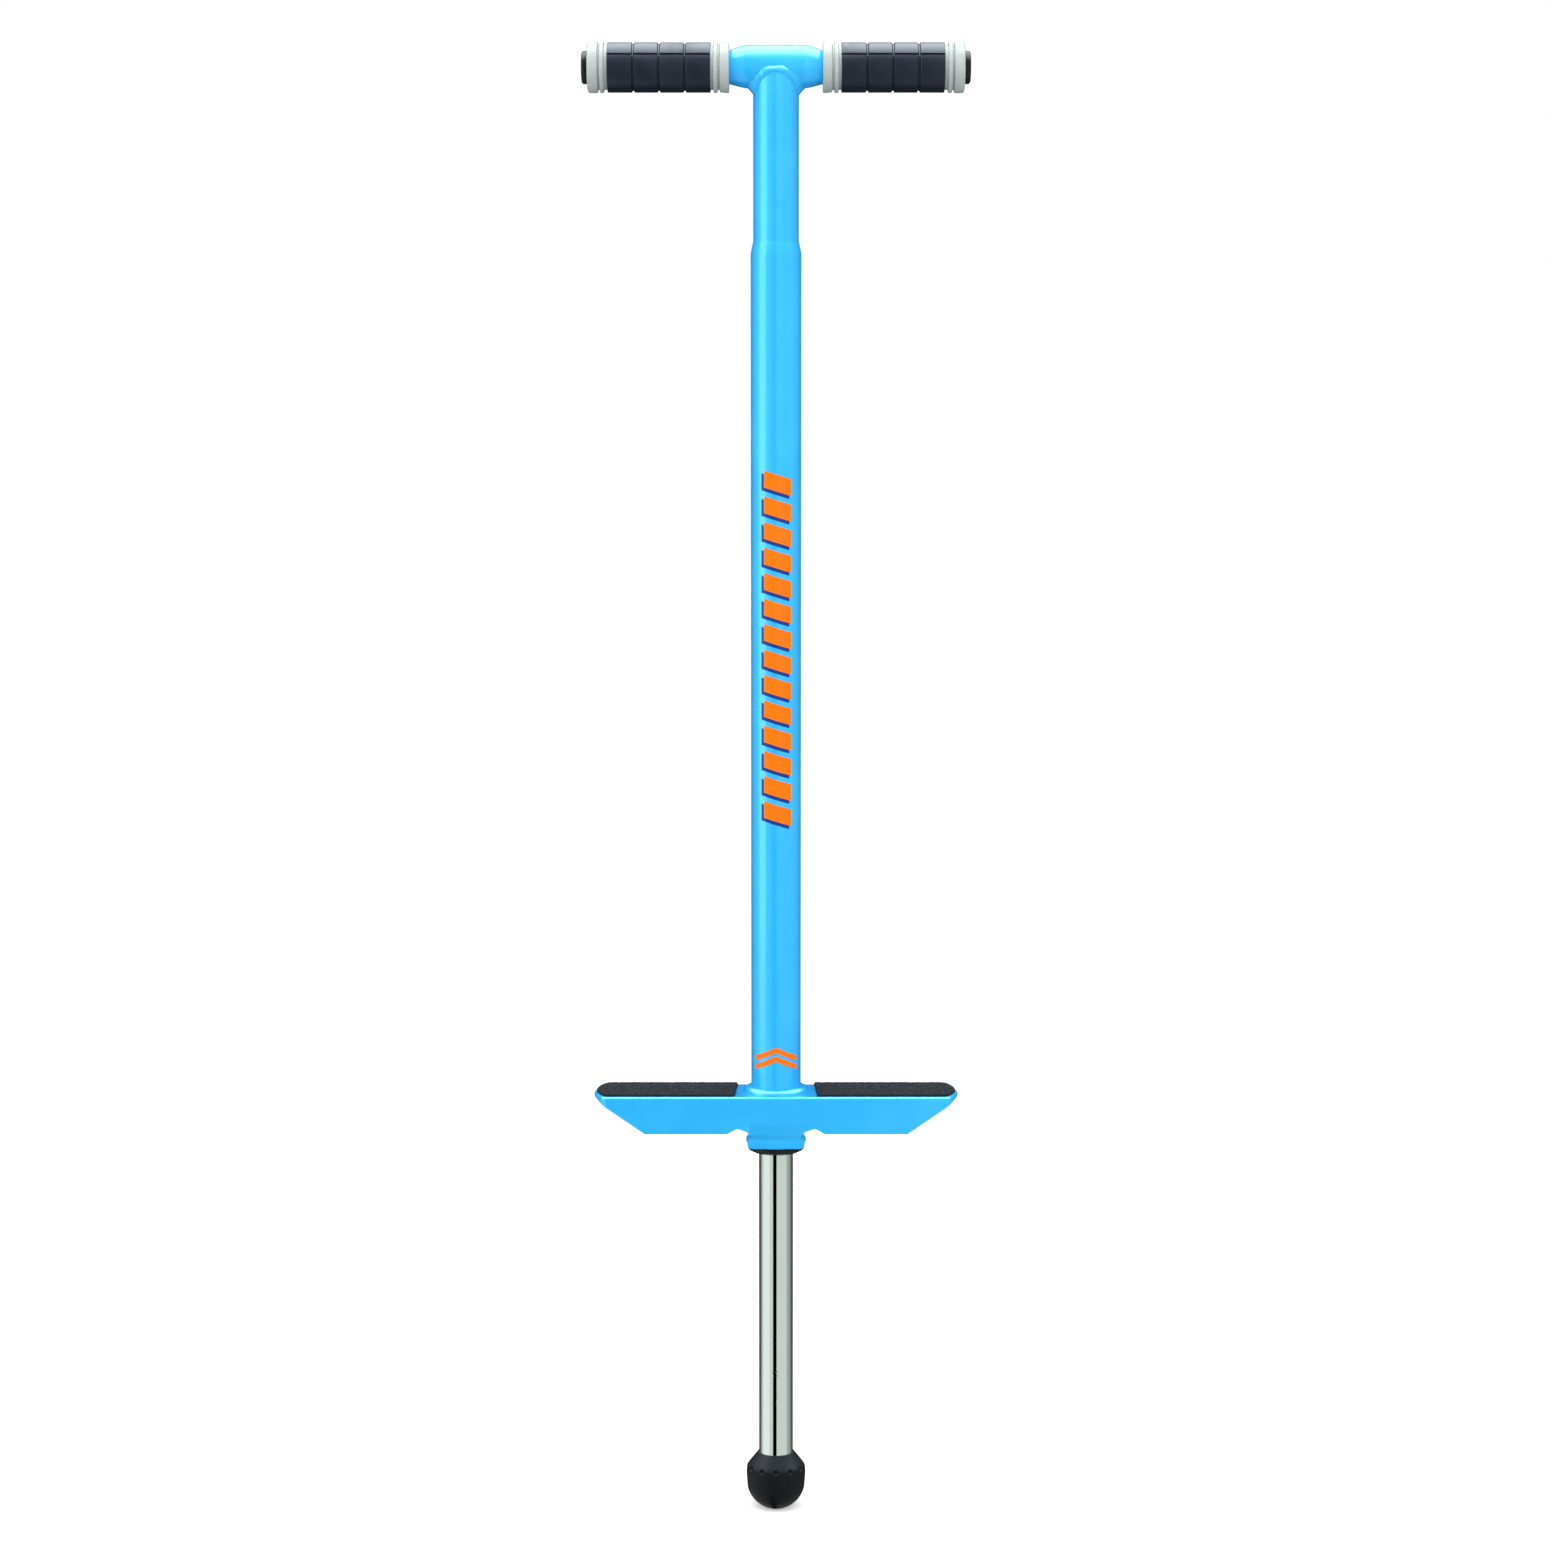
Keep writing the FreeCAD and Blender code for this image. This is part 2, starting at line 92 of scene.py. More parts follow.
# Handlebar: the tube in the grips, where it leaves them, and its swollen middle
BAR_R = 11.1 * MM
BAR_BORE = BAR_R - WALL
NECKED_R = 10.3 * MM
SWOLLEN_R = 13.2 * MM
SWELL_LIFT = 0.5 * MM
BULGE_FLAT = 17.0 * MM
BULGE_HALF = 29.0 * MM

# Saddle joint: the stem's coped end, and the fillet of weld round it
SADDLE_DROP = 2.0 * MM
SADDLE_DEPTH = 11.2 * MM
SADDLE_POWER = 2.3
WELD_CROWN = 2.1 * MM
WELD_LEG = 2.0 * MM
WELD_LEG_AT_SIDE = 1.6 * MM

# Grips
FLANGE_R = core_high.z - BAR_Z
SLEEVE_R = sleeve_high.z - BAR_Z
RING_R = FLANGE_R - 0.1 * MM
RING_FLOOR_R = FLANGE_R - 2.0 * MM
CORE_R = 13.0 * MM
INNER_RING = (36.3 * MM, 39.1 * MM)
OUTER_RING = (107.1 * MM, 110.0 * MM)
PLUG_R = plug_high.z - BAR_Z
BLOCKS = 4
BLOCK_GROOVE = 2.0 * MM
GROOVE_ANGLE = 27.5

# Foot bracket
PAN_HALF = pan_high.x
PAN_DEPTH = pan_high.y
END_BOW = 6.0 * MM
PLAN_CORNER = 6.0 * MM
PAN_EDGE = 1.6 * MM
PAN_WALL = 2.0 * MM
TAB_HALF = 16.4 * MM
TAB_FLARE = 0.115
TAB_Z = pan_low.z
CREASE_Z = TAB_Z + 7.4 * MM
LIP_Z = TAB_Z + 3.5 * MM
TAB_SINK = 0.85 * MM
TAB_STEP = 1.0 * MM
LIP_OUT = 0.2 * MM
SKIRT_Z = 252.0 * MM
RISE_START = 84 * MM
RISE_END = 115 * MM
RISE_TOP_Z = 273.4 * MM

# Printed film
STRIPES = 14
STRIPE_PITCH = 225.0 / STRIPES * MM
STRIPE_HALF = STRIPE_PITCH * 0.66 / 2
STRIPE_DROP = 2.75 * MM
FILM_THICKNESS = 0.12 * MM
SHADOW_ACROSS = 1.5 * MM
SHADOW_DOWN = 1.8 * MM
CHEVRON_PITCH = 5.6 * MM
CHEVRON_STROKE = 3.6 * MM
CHEVRON_RISE = 6.0 * MM

# Spring
WIRE_R = 2.0 * MM
SPRING_TURNS = 39
POINTS_PER_TURN = 28

# Rubber tip: its flat, the dome's middle and upper end as (radius, z), and its belt
TIP_FLAT_R = 5.8 * MM
DOME_MIDDLE = (13.6 * MM, 4.8 * MM)
DOME_END = (18.5 * MM, 13.8 * MM)
BELT_Z = 27.9 * MM
TIP_SEAT_Z = 12.0 * MM
PITS = 12
PIT_R = 1.5 * MM
PIT_DEPTH = 1.7 * MM
BELT_LOW = 24
BELT_HIGH_Z = 28 * MM
BELT_STEP = 0.3 * MM
BELT_ROWS = 42
BELT_ROUNDING = 1.1 * MM

# Neck: how far its cone blends down over the tube and up over the stem
NECK_DOWN = 2.0 * MM
NECK_UP = 1.5 * MM
NECK_ROLL = 0.16 * MM


# ---------------------------------------------------------------- mesh helpers


def smooth_by_angle(mesh, degrees=32):
    """Smooth shading, kept sharp where faces meet at more than this angle."""
    mesh.polygons.foreach_set("use_smooth", [True] * len(mesh.polygons))
    mesh.set_sharp_from_angle(angle=math.radians(degrees))


def piece(name, mesh, body, material, replaced=()):
    """An object that rides on a body, with its finish, in place of the CAD nodes it stands for."""
    thing = bpy.data.objects.new(name, mesh)
    bpy.context.scene.collection.objects.link(thing)
    mesh.materials.clear()
    mesh.materials.append(material)
    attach(thing, body)
    if replaced:
        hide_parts(*replaced)
    return thing


def softened(outline, steps=5):
    """A closed outline of (along, out, radius) corners with each corner rounded to its radius."""
    points = []
    count = len(outline)
    for i, (along, out, radius) in enumerate(outline):
        here = Vector((along, out))
        if radius <= 0:
            points.append(here)
            continue
        before = Vector(outline[i - 1][:2]) - here
        after = Vector(outline[(i + 1) % count][:2]) - here
        half = before.angle(after) / 2
        reach = min(radius / math.tan(half), before.length * 0.49, after.length * 0.49)
        start = here + before.normalized() * reach
        end = here + after.normalized() * reach
        for k in range(steps + 1):
            t = k / steps
            points.append(start.lerp(here, t).lerp(here.lerp(end, t), t))
    return points


def turned(name, outline, turn, segments=96, shape=None, angles=None):
    """A closed mesh made by turning a closed outline of (along, radius) points.

    turn(along, radius, angle) places a point. shape(along, radius, angle) may change its radius first.
    """
    angles = angles or [2 * math.pi * k / segments for k in range(segments)]
    mesh = bmesh.new()
    rows = []
    for along, radius in outline:
        radii = [shape(along, radius, angle) if shape else radius for angle in angles]
        rows.append([mesh.verts.new(turn(along, r, angle)) for r, angle in zip(radii, angles)])
    for one, two in zip(rows, rows[1:] + rows[:1]):
        for k in range(len(angles)):
            j = (k + 1) % len(angles)
            mesh.faces.new((one[k], one[j], two[j], two[k]))
    return finished(mesh, name)


def finished(mesh, name):
    """Merge doubled points, turn every face outwards, and hand back the mesh data."""
    bmesh.ops.remove_doubles(mesh, verts=mesh.verts, dist=1e-6)
    bmesh.ops.dissolve_degenerate(mesh, dist=1e-7, edges=mesh.edges)
    bmesh.ops.recalc_face_normals(mesh, faces=mesh.faces)
    data = bpy.data.meshes.new(name)
    mesh.to_mesh(data)
    mesh.free()
    smooth_by_angle(data)
    return data


def round_z(along, radius, angle):
    """A place on a shape turned about the stick's axis. Angle 0 faces the front."""
    return Vector((radius * math.sin(angle), -radius * math.cos(angle), along))


def round_bar(side):
    """Places on a shape turned about the handlebar, mirrored for side -1; angle 0 faces the front."""
    def place(along, radius, angle):
        return Vector((side * along, -radius * math.cos(angle), BAR_Z + radius * math.sin(angle)))
    return place


def ease(low, high, value):
    """0 below low, 1 above high, and a smooth step between."""
    t = min(max((value - low) / (high - low), 0.0), 1.0)
    return t * t * (3 - 2 * t)


# ---------------------------------------------------------------- node helpers


def add(tree, kind, settings=None, **inputs):
    """A node with its settings, and its inputs set or linked by name (spaces as underscores)."""
    node = tree.nodes.new(kind)
    for key, value in (settings or {}).items():
        setattr(node, key, value)
    for key, value in inputs.items():
        socket = node.inputs[key.replace("_", " ")]
        if isinstance(value, bpy.types.NodeSocket):
            tree.links.new(value, socket)
        else:
            socket.default_value = value
    return node


def calc(tree, operation, *values):
    """A math node's result from numbers or sockets."""
    node = tree.nodes.new("ShaderNodeMath")
    node.operation = operation
    for socket, value in zip(node.inputs, values):
        if isinstance(value, bpy.types.NodeSocket):
            tree.links.new(value, socket)
        else:
            socket.default_value = value
    return node.outputs[0]


def smooth_step(tree, value, low, high, start=0.0, end=1.0):
    """A value eased from start to end as it goes from low to high."""
    step = add(tree, "ShaderNodeMapRange", {"interpolation_type": "SMOOTHSTEP"}, Value=value,
               From_Min=low, From_Max=high, To_Min=start, To_Max=end)
    return step.outputs[0]


def object_place(tree):
    """The place of a shaded point, in Object coordinates."""
    return tree.nodes.new("ShaderNodeTexCoord").outputs["Object"]


def sum_of(tree, one, two):
    """Two shaders added together."""
    both = tree.nodes.new("ShaderNodeAddShader")
    tree.links.new(one.outputs[0], both.inputs[0])
    tree.links.new(two.outputs[0], both.inputs[1])
    return both


def either(tree, chooser, usual, special):
    """One shader for most rays, and another for those that the chooser picks."""
    mix = add(tree, "ShaderNodeMixShader", Fac=chooser)
    tree.links.new(usual.outputs[0], mix.inputs[1])
    tree.links.new(special.outputs[0], mix.inputs[2])
    return mix


def join_xyz(tree, x, y, z):
    """A vector from three numbers or sockets."""
    return add(tree, "ShaderNodeCombineXYZ", X=x, Y=y, Z=z).outputs[0]


def new_tree(name, inputs, geometry_in=False):
    """A Geometry Nodes tree with named inputs, and its input and output nodes."""
    tree = bpy.data.node_groups.new(name, "GeometryNodeTree")
    tree.interface.new_socket("Geometry", in_out="OUTPUT", socket_type="NodeSocketGeometry")
    if geometry_in:
        tree.interface.new_socket("Geometry", in_out="INPUT", socket_type="NodeSocketGeometry")
    for label, kind in inputs:
        tree.interface.new_socket(label, in_out="INPUT", socket_type="NodeSocket" + kind)
    return tree, tree.nodes.new("NodeGroupInput").outputs, tree.nodes.new("NodeGroupOutput")


def close_tree(tree, geometry, material, out):
    """End a tree with Realize Instances and Set Material."""
    real = add(tree, "GeometryNodeRealizeInstances", Geometry=geometry)
    painted = add(tree, "GeometryNodeSetMaterial", Geometry=real.outputs[0], Material=material)
    tree.links.new(painted.outputs[0], out.inputs[0])


def grown(name, tree, values, start=None):
    """The plain mesh that a tree makes from its inputs, grown from a starting mesh or from nothing."""
    seed = bpy.data.objects.new(name, start or bpy.data.meshes.new(name))
    bpy.context.scene.collection.objects.link(seed)
    modifier = seed.modifiers.new("grow", "NODES")
    modifier.node_group = tree
    for item in tree.interface.items_tree:
        if item.in_out == "INPUT" and item.name in values:
            modifier[item.identifier] = values[item.name]
    seen = seed.evaluated_get(bpy.context.evaluated_depsgraph_get())
    mesh = bpy.data.meshes.new_from_object(seen)
    bpy.data.objects.remove(seed)
    mesh.name = name
    smooth_by_angle(mesh)
    return mesh


# ---------------------------------------------------------------- shader groups


def shader_group(name, inputs, outputs):
    """A shader node group with named inputs and outputs."""
    tree = bpy.data.node_groups.new(name, "ShaderNodeTree")
    for label, default in inputs:
        socket = tree.interface.new_socket(label, in_out="INPUT", socket_type="NodeSocketFloat")
        socket.default_value = default
    for label in outputs:
        tree.interface.new_socket(label, in_out="OUTPUT", socket_type="NodeSocketFloat")
    return tree, tree.nodes.new("NodeGroupInput").outputs, tree.nodes.new("NodeGroupOutput")


def fine_grain_group():
    """Small soft bumps, as on sprayed paint or moulded rubber: a Height."""
    tree, given, out = shader_group("fine_grain", [("Scale", 900.0), ("Broad Scale", 120.0)], ["Height"])
    place = object_place(tree)
    fine = add(tree, "ShaderNodeTexNoise", Vector=place, Scale=given["Scale"], Detail=3.0)
    broad = add(tree, "ShaderNodeTexNoise", Vector=place, Scale=given["Broad Scale"], Detail=2.0)
    both = calc(tree, "MULTIPLY_ADD", fine.outputs["Fac"], 0.6, broad.outputs["Fac"])
    tree.links.new(both, out.inputs["Height"])
    return tree


def handling_group():
    """Smudges from handling, and hairline scratches: two masks from 0 to 1."""
    tree, given, out = shader_group("handling", [("Smudge Scale", 35.0), ("Scratch Scale", 60.0),
                                                 ("Stretch", 14.0)], ["Smudge", "Scratch"])
    place = object_place(tree)
    cloud = add(tree, "ShaderNodeTexNoise", Vector=place, Scale=given["Smudge Scale"], Detail=6.0,
                Roughness=0.62)
    tree.links.new(smooth_step(tree, cloud.outputs["Fac"], 0.44, 0.68), out.inputs["Smudge"])
    part = add(tree, "ShaderNodeSeparateXYZ", Vector=place)
    squeezed = calc(tree, "DIVIDE", part.outputs["Z"], given["Stretch"])
    wobble = add(tree, "ShaderNodeTexNoise", Vector=place, Scale=18.0, Detail=1.0)
    shift = calc(tree, "MULTIPLY", wobble.outputs["Fac"], 0.02)
    along = join_xyz(tree, calc(tree, "ADD", part.outputs["X"], shift), part.outputs["Y"], squeezed)
    hair = add(tree, "ShaderNodeTexVoronoi", {"feature": "DISTANCE_TO_EDGE"}, Vector=along,
               Scale=given["Scratch Scale"])
    line = add(tree, "ShaderNodeMapRange", Value=hair.outputs["Distance"], From_Min=0.012, From_Max=0.0)
    gaps = add(tree, "ShaderNodeTexNoise", Vector=place, Scale=70.0, Detail=2.0)
    kept = add(tree, "ShaderNodeMapRange", Value=gaps.outputs["Fac"], From_Min=0.55, From_Max=0.7)
    tree.links.new(calc(tree, "MULTIPLY", line.outputs[0], kept.outputs[0]), out.inputs["Scratch"])
    return tree


def dust_group():
    """Fine dust that settles on what faces up: a mask."""
    tree, given, out = shader_group("settled_dust", [("Scale", 260.0), ("Amount", 0.3)], ["Mask"])
    place = object_place(tree)
    normal = tree.nodes.new("ShaderNodeNewGeometry").outputs["Normal"]
    up = add(tree, "ShaderNodeSeparateXYZ", Vector=normal)
    faces_up = smooth_step(tree, up.outputs["Z"], 0.2, 1.0)
    specks = add(tree, "ShaderNodeTexNoise", Vector=place, Scale=given["Scale"], Detail=8.0,
                 Roughness=0.7)
    thick = add(tree, "ShaderNodeMapRange", Value=specks.outputs["Fac"], From_Min=0.48, From_Max=0.75)
    settled = calc(tree, "MULTIPLY", faces_up, thick.outputs[0])
    tree.links.new(calc(tree, "MULTIPLY", settled, given["Amount"]), out.inputs["Mask"])
    return tree


GRAIN = fine_grain_group()
HANDLING = handling_group()
DUST = dust_group()


def put(tree, group, **values):
    """A group placed in a material with its own values."""
    node = tree.nodes.new("ShaderNodeGroup")
    node.node_tree = group
    for key, value in values.items():
        node.inputs[key.replace("_", " ")].default_value = value
    return node


def blank(name, color, roughness, **fixed):
    """A material with its Principled BSDF and the plain values on it."""
    material = bpy.data.materials.new(name)
    material.use_nodes = True
    material.diffuse_color = (*color, 1)
    tree = material.node_tree
    skin = tree.nodes["Principled BSDF"]
    skin.inputs["Base Color"].default_value = (*color, 1)
    skin.inputs["Roughness"].default_value = roughness
    for key, value in fixed.items():
        skin.inputs[key.replace("_", " ")].default_value = value
    return material, tree, skin


def tinted(tree, skin, mask, base, other):
    """Colour that goes from base to other with a mask."""
    mix = add(tree, "ShaderNodeMix", {"data_type": "RGBA"})
    tree.links.new(mask, mix.inputs["Factor"])
    mix.inputs[6].default_value = (*base, 1)
    mix.inputs[7].default_value = (*other, 1)
    tree.links.new(mix.outputs[2], skin.inputs["Base Color"])
    return mix.outputs[2]


def roughened(tree, skin, mask, low, high):
    """Roughness that goes from low to high with a mask."""
    spread = add(tree, "ShaderNodeMapRange", Value=mask, To_Min=low, To_Max=high)
    tree.links.new(spread.outputs[0], skin.inputs["Roughness"])


def bumped(tree, skin, height, distance, strength=1.0):
    """Bump from a height, in metres."""
    bump = add(tree, "ShaderNodeBump", Height=height, Distance=distance, Strength=strength)
    tree.links.new(bump.outputs[0], skin.inputs["Normal"])


def handled(name, base, other, roughness, smudge, grain, height, **fixed):
    """A material with smudges in its colour and roughness, and fine bumps of a height in metres."""
    material, tree, skin = blank(name, base, roughness[0], **fixed)
    marks = put(tree, HANDLING, Smudge_Scale=smudge)
    tinted(tree, skin, marks.outputs["Smudge"], base, other)
    roughened(tree, skin, marks.outputs["Smudge"], *roughness)
    bumped(tree, skin, put(tree, GRAIN, Scale=grain[0], Broad_Scale=grain[1]).outputs["Height"], height)
    return material


def dark_rubber():
    """The grips' near-black rubber, with a soft sheen on top."""
    base = (0.008, 0.011, 0.021)
    material, tree, skin = blank("dark_grip_rubber", base, 0.42, Specular_IOR_Level=0.4)
    skin.inputs["Specular Tint"].default_value = (0.8, 0.9, 1.0, 1)
    marks = put(tree, HANDLING, Smudge_Scale=45.0)
    dust = put(tree, DUST, Scale=300.0, Amount=0.08)
    tinted(tree, skin, dust.outputs["Mask"], base, (0.2, 0.22, 0.25))
    roughened(tree, skin, marks.outputs["Smudge"], 0.36, 0.5)
    bumped(tree, skin, put(tree, GRAIN, Scale=1500.0, Broad_Scale=420.0).outputs["Height"], 0.00008)
    return material


def pad_grit():
    """Coarse charcoal anti-slip rubber."""
    base = (0.014, 0.016, 0.019)
    material, tree, skin = blank("grit_pad_rubber", base, 0.8, Specular_IOR_Level=0.1)
    place = object_place(tree)
    fleck = add(tree, "ShaderNodeTexVoronoi", Vector=place, Scale=900.0)
    tinted(tree, skin, fleck.outputs["Distance"], (0.007, 0.009, 0.011), (0.025, 0.029, 0.034))
    roughened(tree, skin, fleck.outputs["Distance"], 0.65, 0.95)
    bumped(tree, skin, put(tree, GRAIN, Scale=1900.0, Broad_Scale=800.0).outputs["Height"], 0.00025)
    return material


def chrome_plate():
    """Polished chrome on the plunger, with faint lengthwise rub marks."""
    base = (0.78, 0.91, 0.835)
    material, tree, skin = blank("chrome_plate", base, 0.07, Metallic=1.0)
    marks = put(tree, HANDLING, Smudge_Scale=30.0, Scratch_Scale=160.0, Stretch=40.0)
    roughened(tree, skin, marks.outputs["Smudge"], 0.03, 0.07)
    tinted(tree, skin, marks.outputs["Scratch"], base, (0.7, 0.77, 0.73))
    bumped(tree, skin, marks.outputs["Scratch"], 0.00001)
    return material


def bare_steel(name, base, rough):
    """Turned or drawn steel with oil on it."""
    material, tree, skin = blank(name, base, rough, Metallic=1.0)
    marks = put(tree, HANDLING, Smudge_Scale=80.0, Scratch_Scale=220.0, Stretch=6.0)
    tinted(tree, skin, marks.outputs["Smudge"], base, tuple(c * 0.7 for c in base))
    roughened(tree, skin, marks.outputs["Smudge"], rough - 0.1, rough + 0.1)
    bumped(tree, skin, marks.outputs["Scratch"], 0.00002)
    return material


def tip_rubber():
    """Satin black rubber of the foot, slightly scuffed underneath."""
    base = (0.006, 0.0075, 0.009)
    material, tree, skin = blank("tip_rubber", base, 0.45, Specular_IOR_Level=0.12)
    skin.inputs["Specular Tint"].default_value = (0.8, 0.88, 1.0, 1)
    place = object_place(tree)
    height = add(tree, "ShaderNodeSeparateXYZ", Vector=place).outputs["Z"]
    low = add(tree, "ShaderNodeMapRange", Value=height, From_Min=0.008, From_Max=0.0)
    marks = put(tree, HANDLING, Smudge_Scale=90.0)
    scuff = calc(tree, "MULTIPLY", low.outputs[0], marks.outputs["Smudge"])
    tinted(tree, skin, scuff, base, (0.025, 0.025, 0.027))
    roughened(tree, skin, marks.outputs["Smudge"], 0.48, 0.6)
    bumped(tree, skin, put(tree, GRAIN, Scale=1700.0, Broad_Scale=350.0).outputs["Height"], 0.00007)
    return material


def film(name, base, worn):
    """Glossy printed film."""
    material, tree, skin = blank(name, base, 0.28, Specular_IOR_Level=0.15)
    marks = put(tree, HANDLING, Smudge_Scale=50.0, Scratch_Scale=70.0, Stretch=5.0)
    tinted(tree, skin, marks.outputs["Scratch"], base, worn)
    roughened(tree, skin, marks.outputs["Smudge"], 0.24, 0.36)
    bumped(tree, skin, put(tree, GRAIN, Scale=700.0, Broad_Scale=210.0).outputs["Height"], 0.00004)
    return material


# Glossy azure powder coat with faint orange peel
PAINT = handled("azure_powder_coat", (0.028, 0.465, 0.97), (0.034, 0.49, 1.0), (0.2, 0.27), 26.0,
                (700.0, 210.0), 0.00006, Metallic=0.18)
# The grips' pale grey moulding
PALE = handled("pale_grip_rubber", (0.40, 0.442, 0.428), (0.37, 0.41, 0.4), (0.4, 0.55), 60.0,
               (1600.0, 300.0), 0.00002, Specular_IOR_Level=0.4)
DARK = dark_rubber()
# Moulded black plastic of the end plugs and the guide bushing
PLASTIC = handled("black_moulded_plastic", (0.007, 0.009, 0.013), (0.012, 0.014, 0.018), (0.3, 0.45), 70.0,
                  (2200.0, 500.0), 0.00003, Specular_IOR_Level=0.2)
GRIT = pad_grit()
CHROME = chrome_plate()
STEEL = bare_steel("turned_steel", (0.5, 0.5, 0.49), 0.35)
SPRING_STEEL = bare_steel("oiled_spring_steel", (0.16, 0.16, 0.17), 0.4)
TIP = tip_rubber()
ORANGE = film("orange_film", (0.93, 0.165, 0.001), (0.95, 0.22, 0.01))
NAVY = film("navy_film", (0.006, 0.045, 0.24), (0.015, 0.07, 0.28))

FINISHES = {
    "frame_paint": PAINT,
    "grip_pale": PALE,
    "grip_dark": DARK,
    "black_plastic": PLASTIC,
    "pad_rubber": GRIT,
    "chrome_tube": CHROME,
    "bare_steel": STEEL,
    "spring_steel": SPRING_STEEL,
    "bumper_rubber": TIP,
    "tip_rubber": TIP,
    "film_orange": ORANGE,
    "film_navy": NAVY,
}


def finish_cad_nodes():
    """Give every CAD node that stays in sight the finish of its slot."""
    for part in frame["record"]["subparts"]:
        node = NODES[part["node"]]
        node.data.materials.clear()
        node.data.materials.append(FINISHES[part["material_slot"]])


# ---------------------------------------------------------------- handlebar, stem and neck


def bar_section(x):
    """The handlebar's radius at a place along it, and how high its centre sits above BAR_Z."""
    swell = (1 - ease(BULGE_FLAT, BULGE_HALF + 1 * MM, abs(x))) ** 0.7
    full = ease(BULGE_HALF + 1.5 * MM, BULGE_HALF + 3.5 * MM, abs(x))
    radius = NECKED_R + (SWOLLEN_R - NECKED_R) * swell + (BAR_R - NECKED_R) * full
    return radius, SWELL_LIFT * (0.3 + 0.7 * swell) * (1 - full)


def handlebar():
    """The bar through both grips, swaged up over the stem: a closed tube."""
    half = bar_high.x
    middle = BULGE_HALF + 4 * MM
    steps = 88
    stations = [-half] + [-middle + 2 * middle * i / steps for i in range(steps + 1)] + [half]
    outline = [(x, bar_section(x)[0]) for x in stations] + [(half, BAR_BORE), (-half, BAR_BORE)]

    def place(x, radius, angle):
        lift = bar_section(x)[1] if radius > BAR_BORE else 0.0
        return Vector((x, -radius * math.cos(angle), BAR_Z + lift + radius * math.sin(angle)))

    mesh = turned("handlebar", outline, place, 112)
    piece("handlebar_tube", mesh, "frame", PAINT, ["handlebar"])


def saddle_height(x):
    """Height of the stem's coped end where it meets the bar, by its place across the stem."""
    return BAR_Z - SADDLE_DROP - SADDLE_DEPTH * (abs(x) / STEM_R) ** SADDLE_POWER


def stem():
    """The upright, coped to the bar: a closed tube whose top edge follows the saddle."""
    straight = BAR_Z - 20 * MM
    steps = 8
    bore = STEM_R - WALL
    outline = [(0.0, STEM_R)] + [(1.0 + k / steps, STEM_R) for k in range(steps + 1)]
    outline += [(2.0, bore), (1.0, bore), (0.0, bore)]

    def place(along, radius, angle):
        low = stem_low.z + (straight - stem_low.z) * min(along, 1.0)
        top = saddle_height(STEM_R * math.sin(angle)) - straight
        z = low + top * max(along - 1.0, 0.0)
        return Vector((radius * math.sin(angle), -radius * math.cos(angle), z))

    mesh = turned("stem", outline, place, 128)
    piece("stem_upright", mesh, "frame", PAINT, ["stem_tube"])


def on_bar(point):
    """The place on the handlebar's surface straight out from its centre line, through a point."""
    radius, lift = bar_section(point.x)
    centre = Vector((point.x, 0, BAR_Z + lift))
    return centre + (point - centre).normalized() * radius


def saddle_weld():
    """The painted fillet of weld round the saddle joint: a curved strip from stem to bar."""
    steps = 9
    segments = 160
    mesh = bmesh.new()
    rings = []
    for k in range(segments):
        angle = 2 * math.pi * k / segments
        out = Vector((math.sin(angle), -math.cos(angle), 0))
        edge = out * STEM_R
        edge.z = saddle_height(edge.x)
        sideways = abs(out.x)
        leg = WELD_LEG + WELD_LEG_AT_SIDE * sideways
        lie = (out * sideways + Vector((0, 0, 1 - sideways))).normalized()
        uneven = 1 + 0.10 * math.sin(9 * angle) + 0.06 * math.sin(23 * angle + 1.0)
        start = edge - Vector((0, 0, leg * uneven)) - out * 0.05 * MM
        end = on_bar(edge + lie * leg * uneven)
        from_bar = Vector((0, edge.y, edge.z - BAR_Z)).normalized()
        peak = edge + (out + from_bar).normalized() * WELD_CROWN * uneven
        curve = [start.lerp(peak, i / steps).lerp(peak.lerp(end, i / steps), i / steps)
                 for i in range(steps + 1)]
        rings.append([mesh.verts.new(point) for point in curve + [edge - out * 1.2 * MM]])
    for one, two in zip(rings, rings[1:] + rings[:1]):
        for i in range(len(one)):
            j = (i + 1) % len(one)
            mesh.faces.new((one[i], two[i], two[j], one[j]))
    piece("saddle_weld_bead", finished(mesh, "saddle_weld"), "frame", PAINT, ["stem_weld"])


def neck():
    """The painted cone that closes the step from main tube to stem, blended into both."""
    low = tube_high.z - NECK_DOWN
    high = neck_high.z + NECK_UP
    steps = 22
    skin = 0.03 * MM
    outline = []
    for i in range(steps + 1):
        z = low + (high - low) * i / steps
        fall = ease(tube_high.z - 0.3 * MM, neck_high.z + 0.8 * MM, z)
        roll = NECK_ROLL * math.exp(-((z - neck_high.z + 2.4 * MM) / (1.5 * MM)) ** 2)
        outline.append((z, TUBE_R + skin + (STEM_R - TUBE_R) * fall + roll))
    outline += [(high, STEM_R - 0.6 * MM), (low, STEM_R - 0.6 * MM)]
    mesh = turned("neck", outline, round_z, 112)
    piece("neck_cone", mesh, "frame", PAINT, ["neck_weld"])


# ---------------------------------------------------------------- grips and plugs


def from_groove(angle):
    """How far round a grip an angle is from the nearest of its four lengthwise grooves, in metres."""
    quarter = math.pi / 2
    turn = (angle - math.radians(GROOVE_ANGLE)) % quarter
    return min(turn, quarter - turn) * SLEEVE_R


